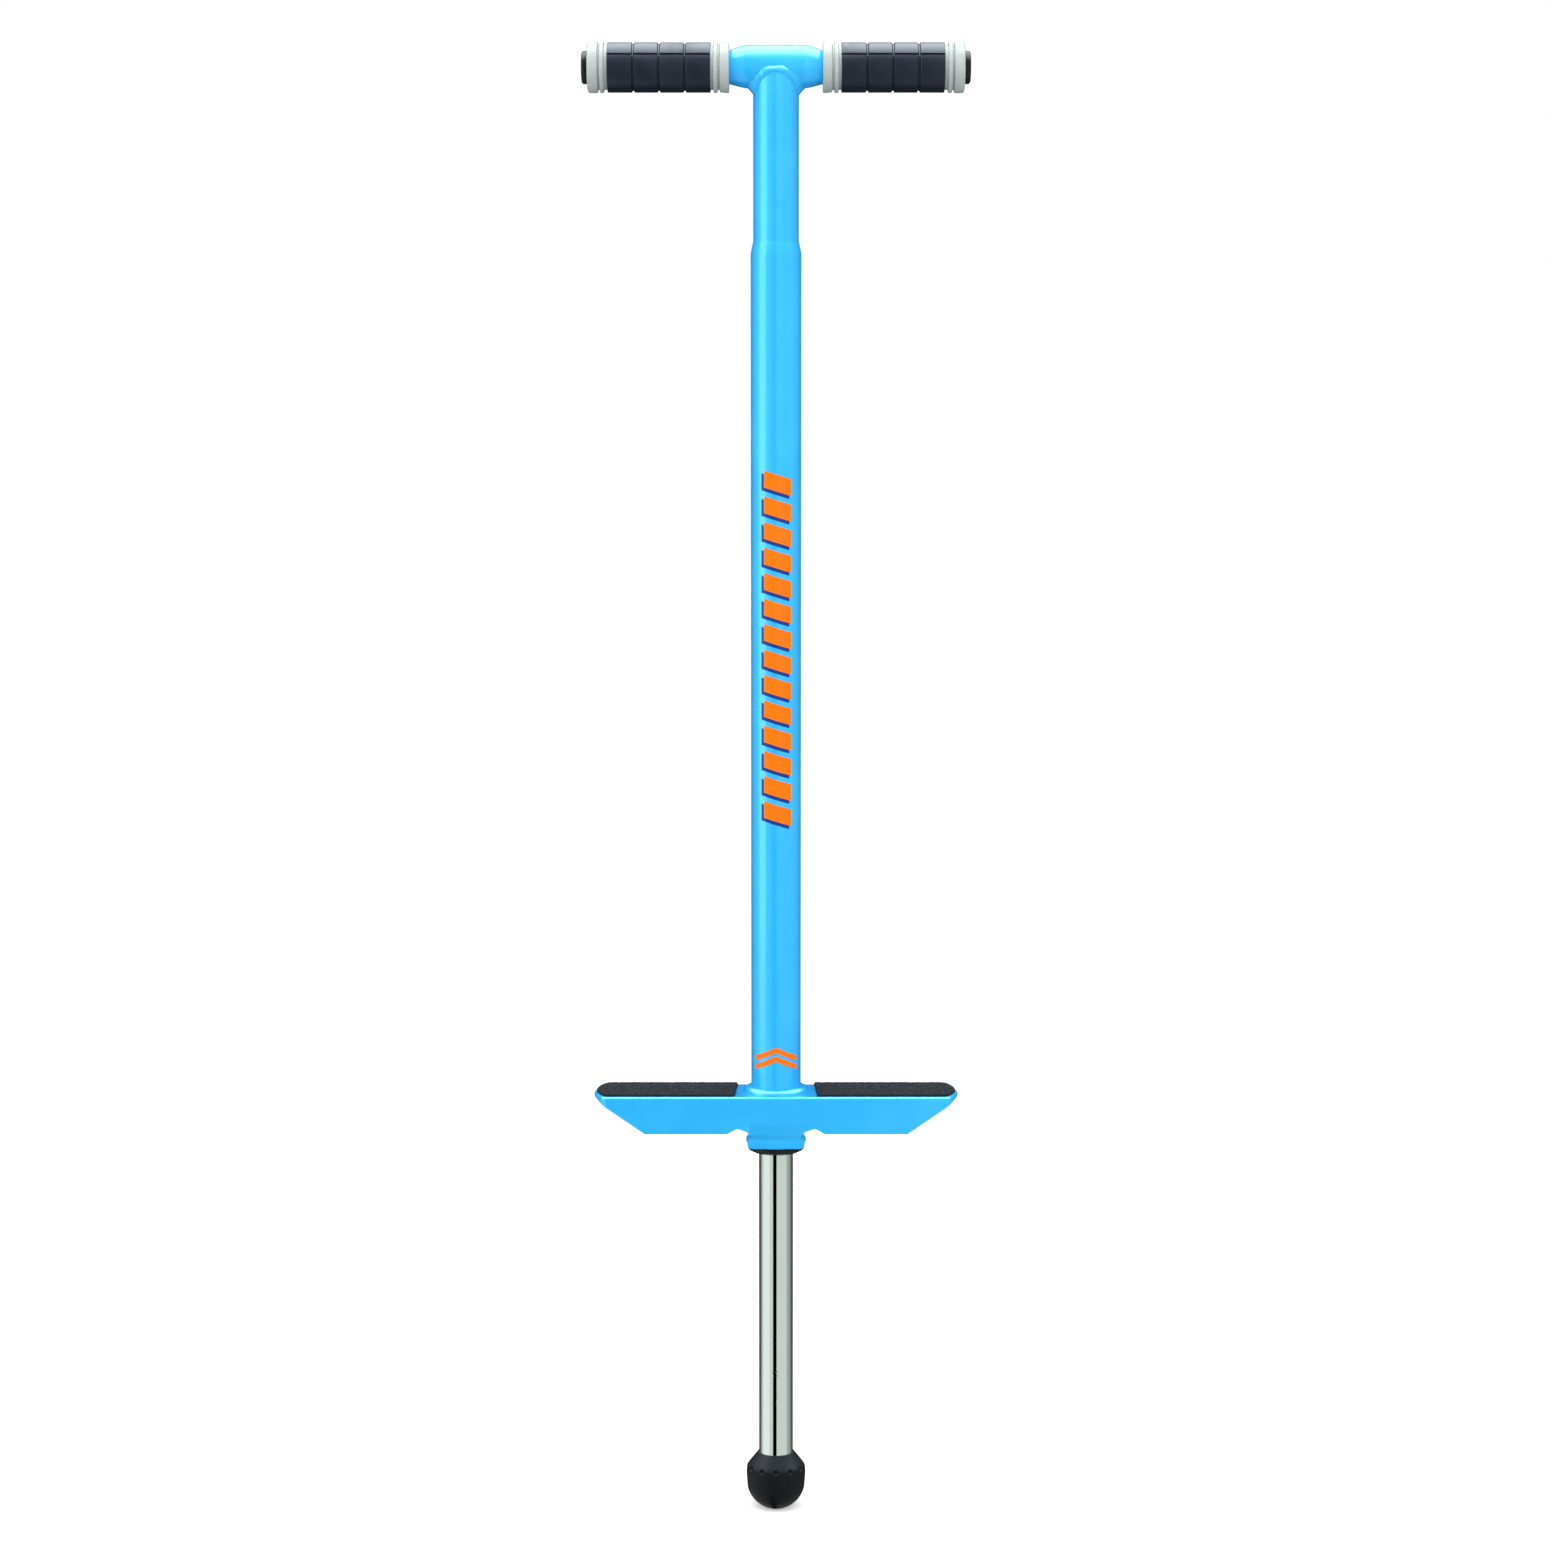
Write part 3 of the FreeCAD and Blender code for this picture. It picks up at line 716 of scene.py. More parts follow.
def grip_angles():
    """Angles round a grip, closer together at the lengthwise grooves."""
    coarse = [2 * math.pi * k / 104 for k in range(104)]
    angles = [angle for angle in coarse if from_groove(angle) > 1.3 * MM]
    for k in range(4):
        middle = math.radians(GROOVE_ANGLE + 90 * k)
        for step in (-1.0, -0.74, -0.56, -0.4, -0.22, 0.0, 0.22, 0.4, 0.56, 0.74, 1.0):
            angles.append((middle + step * MM / SLEEVE_R) % (2 * math.pi))
    return sorted(angles)


def grip_sleeve(side, word):
    """Dark rubber over a grip: four rounded blocks, parted by ring grooves and lengthwise grooves."""
    low = sleeve_low.x
    high = sleeve_high.x
    inner = SLEEVE_R - 2.4 * MM
    floor = SLEEVE_R - 1.15 * MM
    edge = 0.55 * MM
    half = BLOCK_GROOVE / 2
    outline = [(low, inner, 0), (low, SLEEVE_R, edge)]
    for i in range(1, BLOCKS):
        x = low + (high - low) * i / BLOCKS
        outline += [(x - half, SLEEVE_R, edge), (x - half * 0.3, floor, edge * 0.3)]
        outline += [(x + half * 0.3, floor, edge * 0.3), (x + half, SLEEVE_R, edge)]
    outline += [(high, SLEEVE_R, edge), (high, inner, 0)]

    def cut(along, radius, angle):
        if radius < floor - 0.2 * MM:
            return radius
        return min(radius, SLEEVE_R - 1.1 * MM * (1 - ease(0.3 * MM, 0.74 * MM, from_groove(angle))))

    mesh = turned("grip_sleeve", softened(outline, 3), round_bar(side), shape=cut, angles=grip_angles())
    node = word + "_grip_sleeve"
    piece(node + "_rubber", mesh, "frame", DARK, [node])


def grip_core(side, word):
    """Pale moulding under a grip: end flanges, and a round ring beside each end of the sleeve."""
    seat = RING_FLOOR_R
    lip = BAR_R - 0.7 * MM
    x0 = core_low.x
    x1 = core_high.x
    outline = [(x0, lip, 0.2 * MM), (x0, FLANGE_R, 0.8 * MM), (x0 + 5.4 * MM, FLANGE_R - 0.4 * MM, 0.9 * MM)]
    outline += [(x0 + 6.1 * MM, seat, 0.3 * MM)]
    for low, high in (INNER_RING, OUTER_RING):
        if low > sleeve_low.x:
            outline += [(sleeve_low.x, seat, 0), (sleeve_low.x, CORE_R, 0)]
            outline += [(sleeve_high.x, CORE_R, 0), (sleeve_high.x, seat, 0)]
        outline += [(low, seat, 0.25 * MM), (low + 0.2 * MM, RING_R, 1.1 * MM)]
        outline += [(high - 0.2 * MM, RING_R, 1.1 * MM), (high, seat, 0.25 * MM)]
    outline += [(high + 0.9 * MM, seat, 0.25 * MM), (high + 1.1 * MM, FLANGE_R, 1.0 * MM)]
    outline += [(x1, FLANGE_R, 2.0 * MM), (x1, BAR_R, 0.3 * MM)]
    outline += [(x0 + 2.2 * MM, BAR_R, 0.2 * MM), (x0 + 1.5 * MM, lip, 0.2 * MM)]
    mesh = turned("grip_core", softened(outline, 4), round_bar(side), 120)
    node = word + "_grip_core"
    piece(node + "_moulding", mesh, "frame", PALE, [node])


def end_plug(side, word):
    """Black plug in the bar's open end: a round-edged head with a shallow dished middle."""
    x0 = plug_low.x
    x1 = plug_high.x
    snug = BAR_BORE - 0.02 * MM
    head = bar_high.x
    dish = 0.5 * MM
    outline = [(x0, 0, 0), (x0, snug - 1.2 * MM, 0.3 * MM), (x0 + 3 * MM, snug, 0.5 * MM), (head, snug, 0)]
    outline += [(head, PLUG_R, 0.25 * MM), (x1 - 0.1 * MM, PLUG_R, 2.8 * MM), (x1, PLUG_R * 0.6, dish)]
    outline += [(x1 - dish, PLUG_R * 0.52, dish), (x1 - dish, 0, 0)]
    mesh = turned("end_plug", softened(outline), round_bar(side), 80)
    node = word + "_end_plug"
    piece(node + "_cap", mesh, "frame", PLASTIC, [node])


# ---------------------------------------------------------------- foot bracket and pads


def end_plan(half_length, half_depth):
    """One bowed end of the pan's plan, with rounded corners: (x, y) from front to back at +X."""
    flat = half_length - END_BOW
    bow = 8
    outline = [(0, -half_depth, 0), (flat, -half_depth, PLAN_CORNER)]
    for k in range(1, bow):
        t = 2 * k / bow - 1
        outline.append((flat + END_BOW * (1 - t * t), half_depth * t, 0))
    outline += [(flat, half_depth, PLAN_CORNER), (0, half_depth, 0)]
    return softened(outline, 8)[1:-1]


def lower_edge():
    """The bracket's lower edge from its middle outwards, as (x, z): tab, scoop, skirt and rising end."""
    outline = [(0, TAB_Z, 0), (TAB_HALF, TAB_Z, 0.8 * MM)]
    outline += [(TAB_HALF + 0.3 * MM, SKIRT_Z - 1.4 * MM, 1.0 * MM)]
    outline += [(18.8 * MM, SKIRT_Z + 1.4 * MM, 1.8 * MM), (24.8 * MM, SKIRT_Z + 3.6 * MM, 3 * MM)]
    outline += [(31.3 * MM, SKIRT_Z, 2.0 * MM), (RISE_START, SKIRT_Z, 1.5 * MM)]
    outline += [(RISE_END, RISE_TOP_Z, 1 * MM)]
    rounded = [tuple(point) for point in softened(outline, 6)]
    edge = []
    for one, two in zip(rounded, rounded[1:]):
        steps = max(1, math.ceil(abs(two[1] - one[1]) / (0.6 * MM))) if one[0] < TAB_HALF + 1 * MM else 1
        edge += [(one[0] + (two[0] - one[0]) * k / steps, one[1] + (two[1] - one[1]) * k / steps)
                 for k in range(steps)]
    return [point for point in edge if point[0] < PAN_HALF - END_BOW - PLAN_CORNER]


def rising_end(x):
    """Height of the lower edge on the bracket's ends."""
    slope = (RISE_TOP_Z - SKIRT_Z) / (RISE_END - RISE_START)
    return min(SKIRT_Z + (x - RISE_START) * slope, RISE_TOP_Z)


def tab_shift(x, z):
    """How far the tab's face stands back from the skirt's: it sinks to a curved crease and steps in below."""
    beside = 1 - ease(TAB_HALF - 0.2 * MM, TAB_HALF + 3 * MM, abs(x))
    crease = CREASE_Z + 1.5 * MM * (x / TAB_HALF) ** 2
    sunk = 1 - ease(crease - 0.5 * MM, crease + 9 * MM, z)
    step = 1 - ease(crease - 1.4 * MM, crease + 0.2 * MM, z)
    lip = max(0.0, 1 - ((z - LIP_Z) / (2.6 * MM)) ** 2)
    return (TAB_SINK * sunk + TAB_STEP * step - LIP_OUT * lip) * beside


def tab_flare(x, z):
    """How much wider the tab's lip is than the tab, as a factor."""
    lip = max(0.0, 1 - ((z - LIP_Z) / (3.4 * MM)) ** 2)
    return 1 + TAB_FLARE * lip if abs(x) < TAB_HALF + 3 * MM else 1.0


def bracket_columns():
    """Stations round the bracket's plan: (place, outward way, height of the lower edge)."""
    side = lower_edge()
    ends = end_plan(PAN_HALF, PAN_DEPTH)
    front = [(Vector((x, -PAN_DEPTH)), Vector((0, -1)), z) for x, z in side]
    corner = []
    for i, here in enumerate(ends):
        before = ends[i - 1] if i else Vector((0, -PAN_DEPTH))
        after = ends[i + 1] if i + 1 < len(ends) else Vector((0, PAN_DEPTH))
        along = (after - here).normalized() + (here - before).normalized()
        corner.append((here, Vector((along.y, -along.x)).normalized(), rising_end(here.x)))
    half = front + corner
    right = half + [(Vector((p.x, PAN_DEPTH)), Vector((0, 1)), z) for p, n, z in reversed(front)]
    left = [(Vector((-p.x, p.y)), Vector((-n.x, n.y)), z) for p, n, z in reversed(right)]
    return right[1:-1] + left


def foot_bracket():
    """The pressed pan: flat top with a rolled edge, deep skirts, and a creased tab front and back."""
    rows = 26
    bevel = 0.3 * MM
    ceiling = PLATE_Z - PAN_WALL
    mesh = bmesh.new()
    rings = []
    for place, out, low in bracket_columns():
        section = [(PAN_EDGE + 0.8 * MM, PLATE_Z), (PAN_EDGE + 0.2 * MM, PLATE_Z)]
        for k in range(6):
            angle = math.pi / 2 * k / 6
            section.append((PAN_EDGE * (1 - math.sin(angle)), PLATE_Z - PAN_EDGE * (1 - math.cos(angle))))
        top = PLATE_Z - PAN_EDGE
        foot = min(low + bevel, top)
        section += [(0.0, top + (foot - top) * k / rows) for k in range(rows + 1)]
        section += [(bevel * 0.3, low + bevel * 0.3), (bevel, low), (PAN_WALL - bevel, low)]
        section += [(PAN_WALL, foot), (PAN_WALL, ceiling - 0.3 * MM), (PAN_WALL + 0.3 * MM, ceiling)]
        ring = []
        for inset, z in section:
            spot = place - out * inset
            way = -1 if place.y < 0 else 1
            share = 1.0 if inset < PAN_WALL / 2 else 0.2
            shift = tab_shift(place.x, z) * share if z < top else 0.0
            ring.append(mesh.verts.new((spot.x * tab_flare(spot.x, z), spot.y - way * shift, z)))
        rings.append(ring)
    for one, two in zip(rings, rings[1:] + rings[:1]):
        for i in range(len(one) - 1):
            mesh.faces.new((one[i], two[i], two[i + 1], one[i + 1]))
    mesh.faces.new([ring[0] for ring in rings])
    mesh.faces.new([ring[-1] for ring in rings])
    data = finished(mesh, "foot_bracket")
    piece("foot_bracket_pan", data, "frame", PAINT, ["foot_bracket"])


def weld_bead_tree():
    """A rippled bead of weld laid round a tube."""
    tree, given, out = new_tree("weld_bead", [
        ("Path Radius", "Float"), ("Height", "Float"), ("Bead Radius", "Float"), ("Ripples", "Float"),
        ("Ripple Depth", "Float"), ("Material", "Material")])
    circle = add(tree, "GeometryNodeCurvePrimitiveCircle", Resolution=360, Radius=given["Path Radius"])
    along = tree.nodes.new("GeometryNodeSplineParameter").outputs["Factor"]
    turn = calc(tree, "MULTIPLY", along, 2 * math.pi)
    sway = calc(tree, "MULTIPLY", calc(tree, "SINE", calc(tree, "MULTIPLY", turn, 7.0)), 0.6)
    ripple = calc(tree, "SINE", calc(tree, "MULTIPLY_ADD", turn, given["Ripples"], sway))
    slow = calc(tree, "SINE", calc(tree, "MULTIPLY", turn, 5.0))
    wave = calc(tree, "MULTIPLY_ADD", slow, 0.5, ripple)
    size = calc(tree, "MULTIPLY_ADD", wave, given["Ripple Depth"], 1.0)
    lift = join_xyz(tree, 0.0, 0.0, given["Height"])
    placed = add(tree, "GeometryNodeSetPosition", Geometry=circle.outputs["Curve"], Offset=lift)
    sized = add(tree, "GeometryNodeSetCurveRadius", Curve=placed.outputs[0], Radius=size)
    section = add(tree, "GeometryNodeCurvePrimitiveCircle", Resolution=14, Radius=given["Bead Radius"])
    bead = add(tree, "GeometryNodeCurveToMesh", Curve=sized.outputs[0],
               Profile_Curve=section.outputs["Curve"])
    close_tree(tree, bead.outputs[0], given["Material"], out)
    return tree


def bracket_weld():
    """The painted bead where the main tube stands on the bracket."""
    values = {"Path Radius": TUBE_R + 1.4 * MM, "Height": PLATE_Z + 0.1 * MM, "Bead Radius": 3.6 * MM,
              "Ripples": 29.0, "Ripple Depth": 0.05, "Material": PAINT}
    mesh = grown("bracket_weld", weld_bead_tree(), values)
    piece("bracket_weld_bead", mesh, "frame", PAINT, ["bracket_weld"])


def grit_tree():
    """Coarse grains bedded in a pad's top and sides."""
    tree, given, out = new_tree("pad_grit", [("Density", "Float"), ("Grain Radius", "Float"), ("Seed", "Int"),
                                             ("Material", "Material")], geometry_in=True)
    normal = tree.nodes.new("GeometryNodeInputNormal").outputs[0]
    up = add(tree, "ShaderNodeSeparateXYZ", Vector=normal).outputs["Z"]
    points = add(tree, "GeometryNodeDistributePointsOnFaces", Mesh=given["Geometry"],
                 Selection=calc(tree, "GREATER_THAN", up, -0.5), Density=given["Density"],
                 Seed=given["Seed"])
    grain = add(tree, "GeometryNodeMeshIcoSphere", Radius=given["Grain Radius"], Subdivisions=1)
    size = add(tree, "FunctionNodeRandomValue", {"data_type": "FLOAT_VECTOR"}, Min=(0.5, 0.5, 0.4),
               Max=(1.3, 1.3, 0.9), Seed=given["Seed"])
    spin = add(tree, "FunctionNodeRandomValue", {"data_type": "FLOAT_VECTOR"}, Min=(-0.4, -0.4, 0.0),
               Max=(0.4, 0.4, 2 * math.pi), Seed=given["Seed"])
    grains = add(tree, "GeometryNodeInstanceOnPoints", Points=points.outputs["Points"],
                 Instance=grain.outputs["Mesh"], Rotation=spin.outputs[0], Scale=size.outputs[0])
    joined = tree.nodes.new("GeometryNodeJoinGeometry")
    tree.links.new(grains.outputs[0], joined.inputs[0])
    tree.links.new(given["Geometry"], joined.inputs[0])
    close_tree(tree, joined.outputs[0], given["Material"], out)
    return tree


GRIT_TREE = grit_tree()


def foot_pad(side, word):
    """One anti-slip pad: a soft-edged slab with a slanted inner end, covered in grit."""
    depth = pad_high.y
    front_in = pad_low.x + 1.6 * MM
    plan = end_plan(pad_high.x, depth)
    plan = [Vector((front_in, -depth))] + [p for p in plan if p.x > front_in] + [Vector((pad_low.x, depth))]
    slab = bmesh.new()
    face = slab.faces.new([slab.verts.new((side * p.x, p.y, pad_low.z)) for p in plan])
    raised = bmesh.ops.extrude_face_region(slab, geom=[face])
    top = [item for item in raised["geom"] if isinstance(item, bmesh.types.BMVert)]
    bmesh.ops.translate(slab, verts=top, vec=(0, 0, pad_high.z - pad_low.z - 0.25 * MM))
    rim = [edge for edge in slab.edges if all(vert in top for vert in edge.verts)]
    bmesh.ops.bevel(slab, geom=rim, offset=0.7 * MM, segments=3, profile=0.5, affect="EDGES")
    base = finished(slab, "pad_base")
    values = {"Density": 1500000.0, "Grain Radius": 0.42 * MM, "Seed": 4 + side, "Material": GRIT}
    node = word + "_foot_pad"
    piece(node + "_grit", grown(node, GRIT_TREE, values, base), "frame", GRIT, [node])


# ---------------------------------------------------------------- guide, tip and spring


def collar():
    """The round ring at the tube's foot, fullest low down."""
    full = collar_high.x
    bore = TUBE_R + 0.01 * MM
    low, high = collar_low.z, collar_high.z
    outline = [(low, bore, 0), (low, full - 1.6 * MM, 0.6 * MM)]
    outline += [(low + 2.0 * MM, full - 0.1 * MM, 1.6 * MM), (low + 4.4 * MM, full, 2.0 * MM)]
    outline += [(high - 2.2 * MM, full - 2.2 * MM, 2.0 * MM), (high, full - 2.4 * MM, 0.6 * MM)]
    outline += [(high, bore, 0)]
    mesh = turned("collar", softened(outline), round_z, 112)
    piece("tube_foot_collar", mesh, "frame", PAINT, ["lower_collar"])


def bushing():
    """The flanged guide under the collar."""
    bore = bush_low.z
    inner = SHAFT_R + 0.06 * MM
    flange = tube_low.z
    wide = bush_high.x
    sleeve = TUBE_R - WALL
    outline = [(bore, inner, 0.5 * MM), (bore, wide - 3.2 * MM, 1.6 * MM), (bore + 1.7 * MM, wide, 1.2 * MM)]
    outline += [(flange, wide, 0.3 * MM), (flange, sleeve, 0), (bush_high.z, sleeve, 0.4 * MM)]
    outline += [(bush_high.z, inner, 0.4 * MM)]
    mesh = turned("bushing", softened(outline), round_z, 96)
    piece("guide_bushing", mesh, "frame", PLASTIC, ["lower_bushing"])


def arc_points(start, middle, end, steps):
    """Points along the circular arc through three (radius, z) points."""
    (ax, ay), (bx, by), (cx, cy) = start, middle, end
    twice = 2 * (ax * (by - cy) + bx * (cy - ay) + cx * (ay - by))
    a2 = ax * ax + ay * ay
    b2 = bx * bx + by * by
    c2 = cx * cx + cy * cy
    centre = Vector(((a2 * (by - cy) + b2 * (cy - ay) + c2 * (ay - by)) / twice,
                     (a2 * (cx - bx) + b2 * (ax - cx) + c2 * (bx - ax)) / twice))
    radius = (Vector(start) - centre).length
    first = math.atan2(ay - centre.y, ax - centre.x)
    last = math.atan2(cy - centre.y, cx - centre.x)
    angles = [first + (last - first) * k / steps for k in range(steps + 1)]
    return [(centre.x + radius * math.cos(a), centre.y + radius * math.sin(a)) for a in angles]


def tip():
    """The round rubber foot: domed below, a belt with a row of small pits, and a cone up to the shaft."""
    wide = tip_high.x
    dome = arc_points((TIP_FLAT_R, 0), DOME_MIDDLE, DOME_END, 22)
    outline = [(0.0, 0.0, 0), (0.0, TIP_FLAT_R, 1.5 * MM)] + [(z, r, 0) for r, z in dome[1:]]
    for z in (16, 18, 20, 22, 23.4):
        outline.append((z * MM, wide - (BELT_LOW - z) / 10.2 * 0.73 * MM, 0))
    top = SHAFT_R + 0.9 * MM
    fall = (wide - top) / (tip_high.z - BELT_HIGH_Z)
    for k in range(BELT_ROWS):
        z = BELT_LOW * MM + BELT_STEP * k
        cone = wide - fall * (z - BELT_HIGH_Z)
        outline.append((z, (wide + cone - math.hypot(wide - cone, BELT_ROUNDING)) / 2, 0))
    outline += [(tip_high.z, top, 0.4 * MM)]
    snug = SHAFT_R + 0.02 * MM
    outline += [(tip_high.z, snug, 0), (TIP_SEAT_Z, snug, 0), (TIP_SEAT_Z, 0.0, 0)]
    spacing = 2 * math.pi / PITS

    def pitted(along, radius, angle):
        if abs(along - BELT_Z) > 2 * PIT_R or radius < wide - 2 * MM:
            return radius
        off = (angle + spacing / 2) % spacing - spacing / 2
        away = math.hypot(off * wide, along - BELT_Z)
        return radius - PIT_DEPTH * (1 - ease(0.4 * PIT_R, 1.1 * PIT_R, away))

    mesh = turned("tip", softened(outline), round_z, 288, shape=pitted)
    piece("rubber_foot", mesh, "plunger", TIP, ["rubber_tip"])


def spring_tree():
    """A compression spring with closed ends, wound upwards."""
    tree, given, out = new_tree("closed_end_spring", [
        ("Turns", "Float"), ("Closed Turns", "Float"), ("Coil Radius", "Float"), ("Wire Radius", "Float"),
        ("Low", "Float"), ("Height", "Float"), ("Points", "Int"), ("Material", "Material")])
    line = add(tree, "GeometryNodeMeshLine", Count=given["Points"])
    path = add(tree, "GeometryNodeMeshToCurve", Mesh=line.outputs[0])
    index = tree.nodes.new("GeometryNodeInputIndex").outputs[0]
    last = calc(tree, "SUBTRACT", given["Points"], 1.0)
    turn = calc(tree, "MULTIPLY", calc(tree, "DIVIDE", index, last), given["Turns"])
    closed = given["Closed Turns"]
    wire = calc(tree, "MULTIPLY", given["Wire Radius"], 2.02)
    open_turns = calc(tree, "MULTIPLY_ADD", closed, -2.0, given["Turns"])
    closed_height = calc(tree, "MULTIPLY", calc(tree, "MULTIPLY", closed, wire), 2.0)
    pitch = calc(tree, "DIVIDE", calc(tree, "SUBTRACT", given["Height"], closed_height), open_turns)
    past = calc(tree, "SUBTRACT", turn, closed)
    opened = calc(tree, "MINIMUM", calc(tree, "MAXIMUM", past, 0.0), open_turns)
    shut = calc(tree, "SUBTRACT", turn, opened)
    opened_rise = calc(tree, "MULTIPLY_ADD", opened, pitch, given["Low"])
    rise = calc(tree, "MULTIPLY_ADD", shut, wire, opened_rise)
    angle = calc(tree, "MULTIPLY", turn, 2 * math.pi)
    x = calc(tree, "MULTIPLY", calc(tree, "COSINE", angle), given["Coil Radius"])
    y = calc(tree, "MULTIPLY", calc(tree, "SINE", angle), given["Coil Radius"])
    wound = add(tree, "GeometryNodeSetPosition", Geometry=path.outputs[0],
                Position=join_xyz(tree, x, y, rise))
    section = add(tree, "GeometryNodeCurvePrimitiveCircle", Resolution=12, Radius=given["Wire Radius"])
    coil = add(tree, "GeometryNodeCurveToMesh", Curve=wound.outputs[0],
               Profile_Curve=section.outputs["Curve"], Fill_Caps=True)
    close_tree(tree, coil.outputs[0], given["Material"], out)
    return tree


def main_spring():
    """The long spring in the main tube, built here at one fixed length; the real spring shortens towards its
    top as the plunger goes in.
    """
    length = spring_high.z - spring_low.z
    values = {"Turns": float(SPRING_TURNS), "Closed Turns": 1.5, "Coil Radius": spring_high.x - WIRE_R,
              "Wire Radius": WIRE_R, "Low": spring_low.z + WIRE_R, "Height": length - 2 * WIRE_R,
              "Points": SPRING_TURNS * POINTS_PER_TURN + 1, "Material": SPRING_STEEL}
    coil = piece("compression_spring", grown("compression_spring", spring_tree(), values), "frame",
                 SPRING_STEEL, ["main_spring"])
    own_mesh(coil)


# ---------------------------------------------------------------- printed film


def film_tree():
    """A row of equal patches of film wrapped on the front of the main tube."""
    tree, given, out = new_tree("wrapped_film", [
        ("Count", "Int"), ("Pitch", "Float"), ("Low", "Float"), ("Middle", "Float"), ("Half Width", "Float"),
        ("Half Height", "Float"), ("Drop", "Float"), ("Peak", "Float"), ("Tube Radius", "Float"),
        ("Thickness", "Float"), ("Material", "Material")])
    grid = add(tree, "GeometryNodeMeshGrid", Size_X=2.0, Size_Y=2.0, Vertices_X=25, Vertices_Y=5)
    place = tree.nodes.new("GeometryNodeInputPosition").outputs[0]
    part = add(tree, "ShaderNodeSeparateXYZ", Vector=place)
    across = calc(tree, "MULTIPLY_ADD", part.outputs["X"], given["Half Width"], given["Middle"])
    fall = calc(tree, "MULTIPLY", part.outputs["X"], given["Drop"])
    level = calc(tree, "SUBTRACT", calc(tree, "MULTIPLY", part.outputs["Y"], given["Half Height"]), fall)
    inward = calc(tree, "SUBTRACT", 1.0, calc(tree, "ABSOLUTE", part.outputs["X"]))
    height = calc(tree, "MULTIPLY_ADD", inward, given["Peak"], level)
    angle = calc(tree, "ARCSINE", calc(tree, "DIVIDE", across, given["Tube Radius"]))
    back = calc(tree, "MULTIPLY", calc(tree, "COSINE", angle), given["Tube Radius"])
    bent = add(tree, "GeometryNodeSetPosition", Geometry=grid.outputs["Mesh"],
               Position=join_xyz(tree, across, calc(tree, "MULTIPLY", back, -1.0), height))
    skin = add(tree, "GeometryNodeExtrudeMesh", Mesh=bent.outputs[0], Offset_Scale=given["Thickness"],
               Individual=False)
    under = add(tree, "GeometryNodeFlipFaces", Mesh=bent.outputs[0])
    both = tree.nodes.new("GeometryNodeJoinGeometry")
    tree.links.new(skin.outputs["Mesh"], both.inputs[0])
    tree.links.new(under.outputs[0], both.inputs[0])
    shell = add(tree, "GeometryNodeMergeByDistance", Geometry=both.outputs[0], Distance=0.000001)
    row = add(tree, "GeometryNodeMeshLine", Count=given["Count"],
              Start_Location=join_xyz(tree, 0.0, 0.0, given["Low"]),
              Offset=join_xyz(tree, 0.0, 0.0, given["Pitch"]))
    patches = add(tree, "GeometryNodeInstanceOnPoints", Points=row.outputs[0], Instance=shell.outputs[0])
    close_tree(tree, patches.outputs[0], given["Material"], out)
    return tree


def printed_films():
    """Slanted orange stripes with a navy shadow, and a small pair of chevrons."""
    tree = film_tree()
    half = (film_high.x - film_low.x) / 2
    middle = (film_high.x + film_low.x) / 2
    low = film_low.z + STRIPE_DROP * 2 + STRIPE_HALF
    shared = {"Count": STRIPES, "Pitch": STRIPE_PITCH, "Half Width": half, "Half Height": STRIPE_HALF,
              "Drop": STRIPE_DROP, "Peak": 0.0, "Thickness": FILM_THICKNESS, "Tube Radius": TUBE_R}
    shadow = dict(shared, Low=low - STRIPE_DROP - SHADOW_DOWN, Middle=middle - SHADOW_ACROSS, Material=NAVY)
    stripes = dict(shared, Low=low - STRIPE_DROP, Middle=middle, Material=ORANGE)
    stripes["Tube Radius"] = TUBE_R + FILM_THICKNESS
    piece("stripe_shadow_film", grown("stripe_shadow", tree, shadow), "frame", NAVY,
          ["graphic_shadow"])
    piece("stripe_film", grown("stripes", tree, stripes), "frame", ORANGE, ["graphic_bars"])
    marks = dict(shared, Count=2, Pitch=CHEVRON_PITCH, Middle=0.0, Drop=0.0, Peak=CHEVRON_RISE)
    marks.update({"Low": mark_low.z + CHEVRON_STROKE / 2, "Half Width": mark_high.x,
                  "Half Height": CHEVRON_STROKE / 2, "Material": ORANGE})
    piece("chevron_film", grown("chevrons", tree, marks), "frame", ORANGE, ["small_mark"])


# ---------------------------------------------------------------- setting

# Brightness of the walls by bearing in degrees: 0 is straight in front of the stick, minus is left
WALLS = [(-180, 0.04), (-136, 0.04), (-126, 0.12), (-108, 0.5), (-92, 0.9), (-46, 0.9), (-40, 0.7),
         (-21, 0.68), (-19, 0.0), (3, 0.0), (5, 0.68), (70, 0.7), (78, 0.5), (110, 0.28), (126, 0.13),
         (136, 0.04), (180, 0.04)]
CEILING = 1.25
SHEEN = 9.0
FLOOR_LIFT = 0.3
FLOOR_BOUNCE = 0.42

# Camera
LENS = 80.0
PITCH = math.radians(6.4)
DISTANCE = 2.2
AIM_Z = 0.48


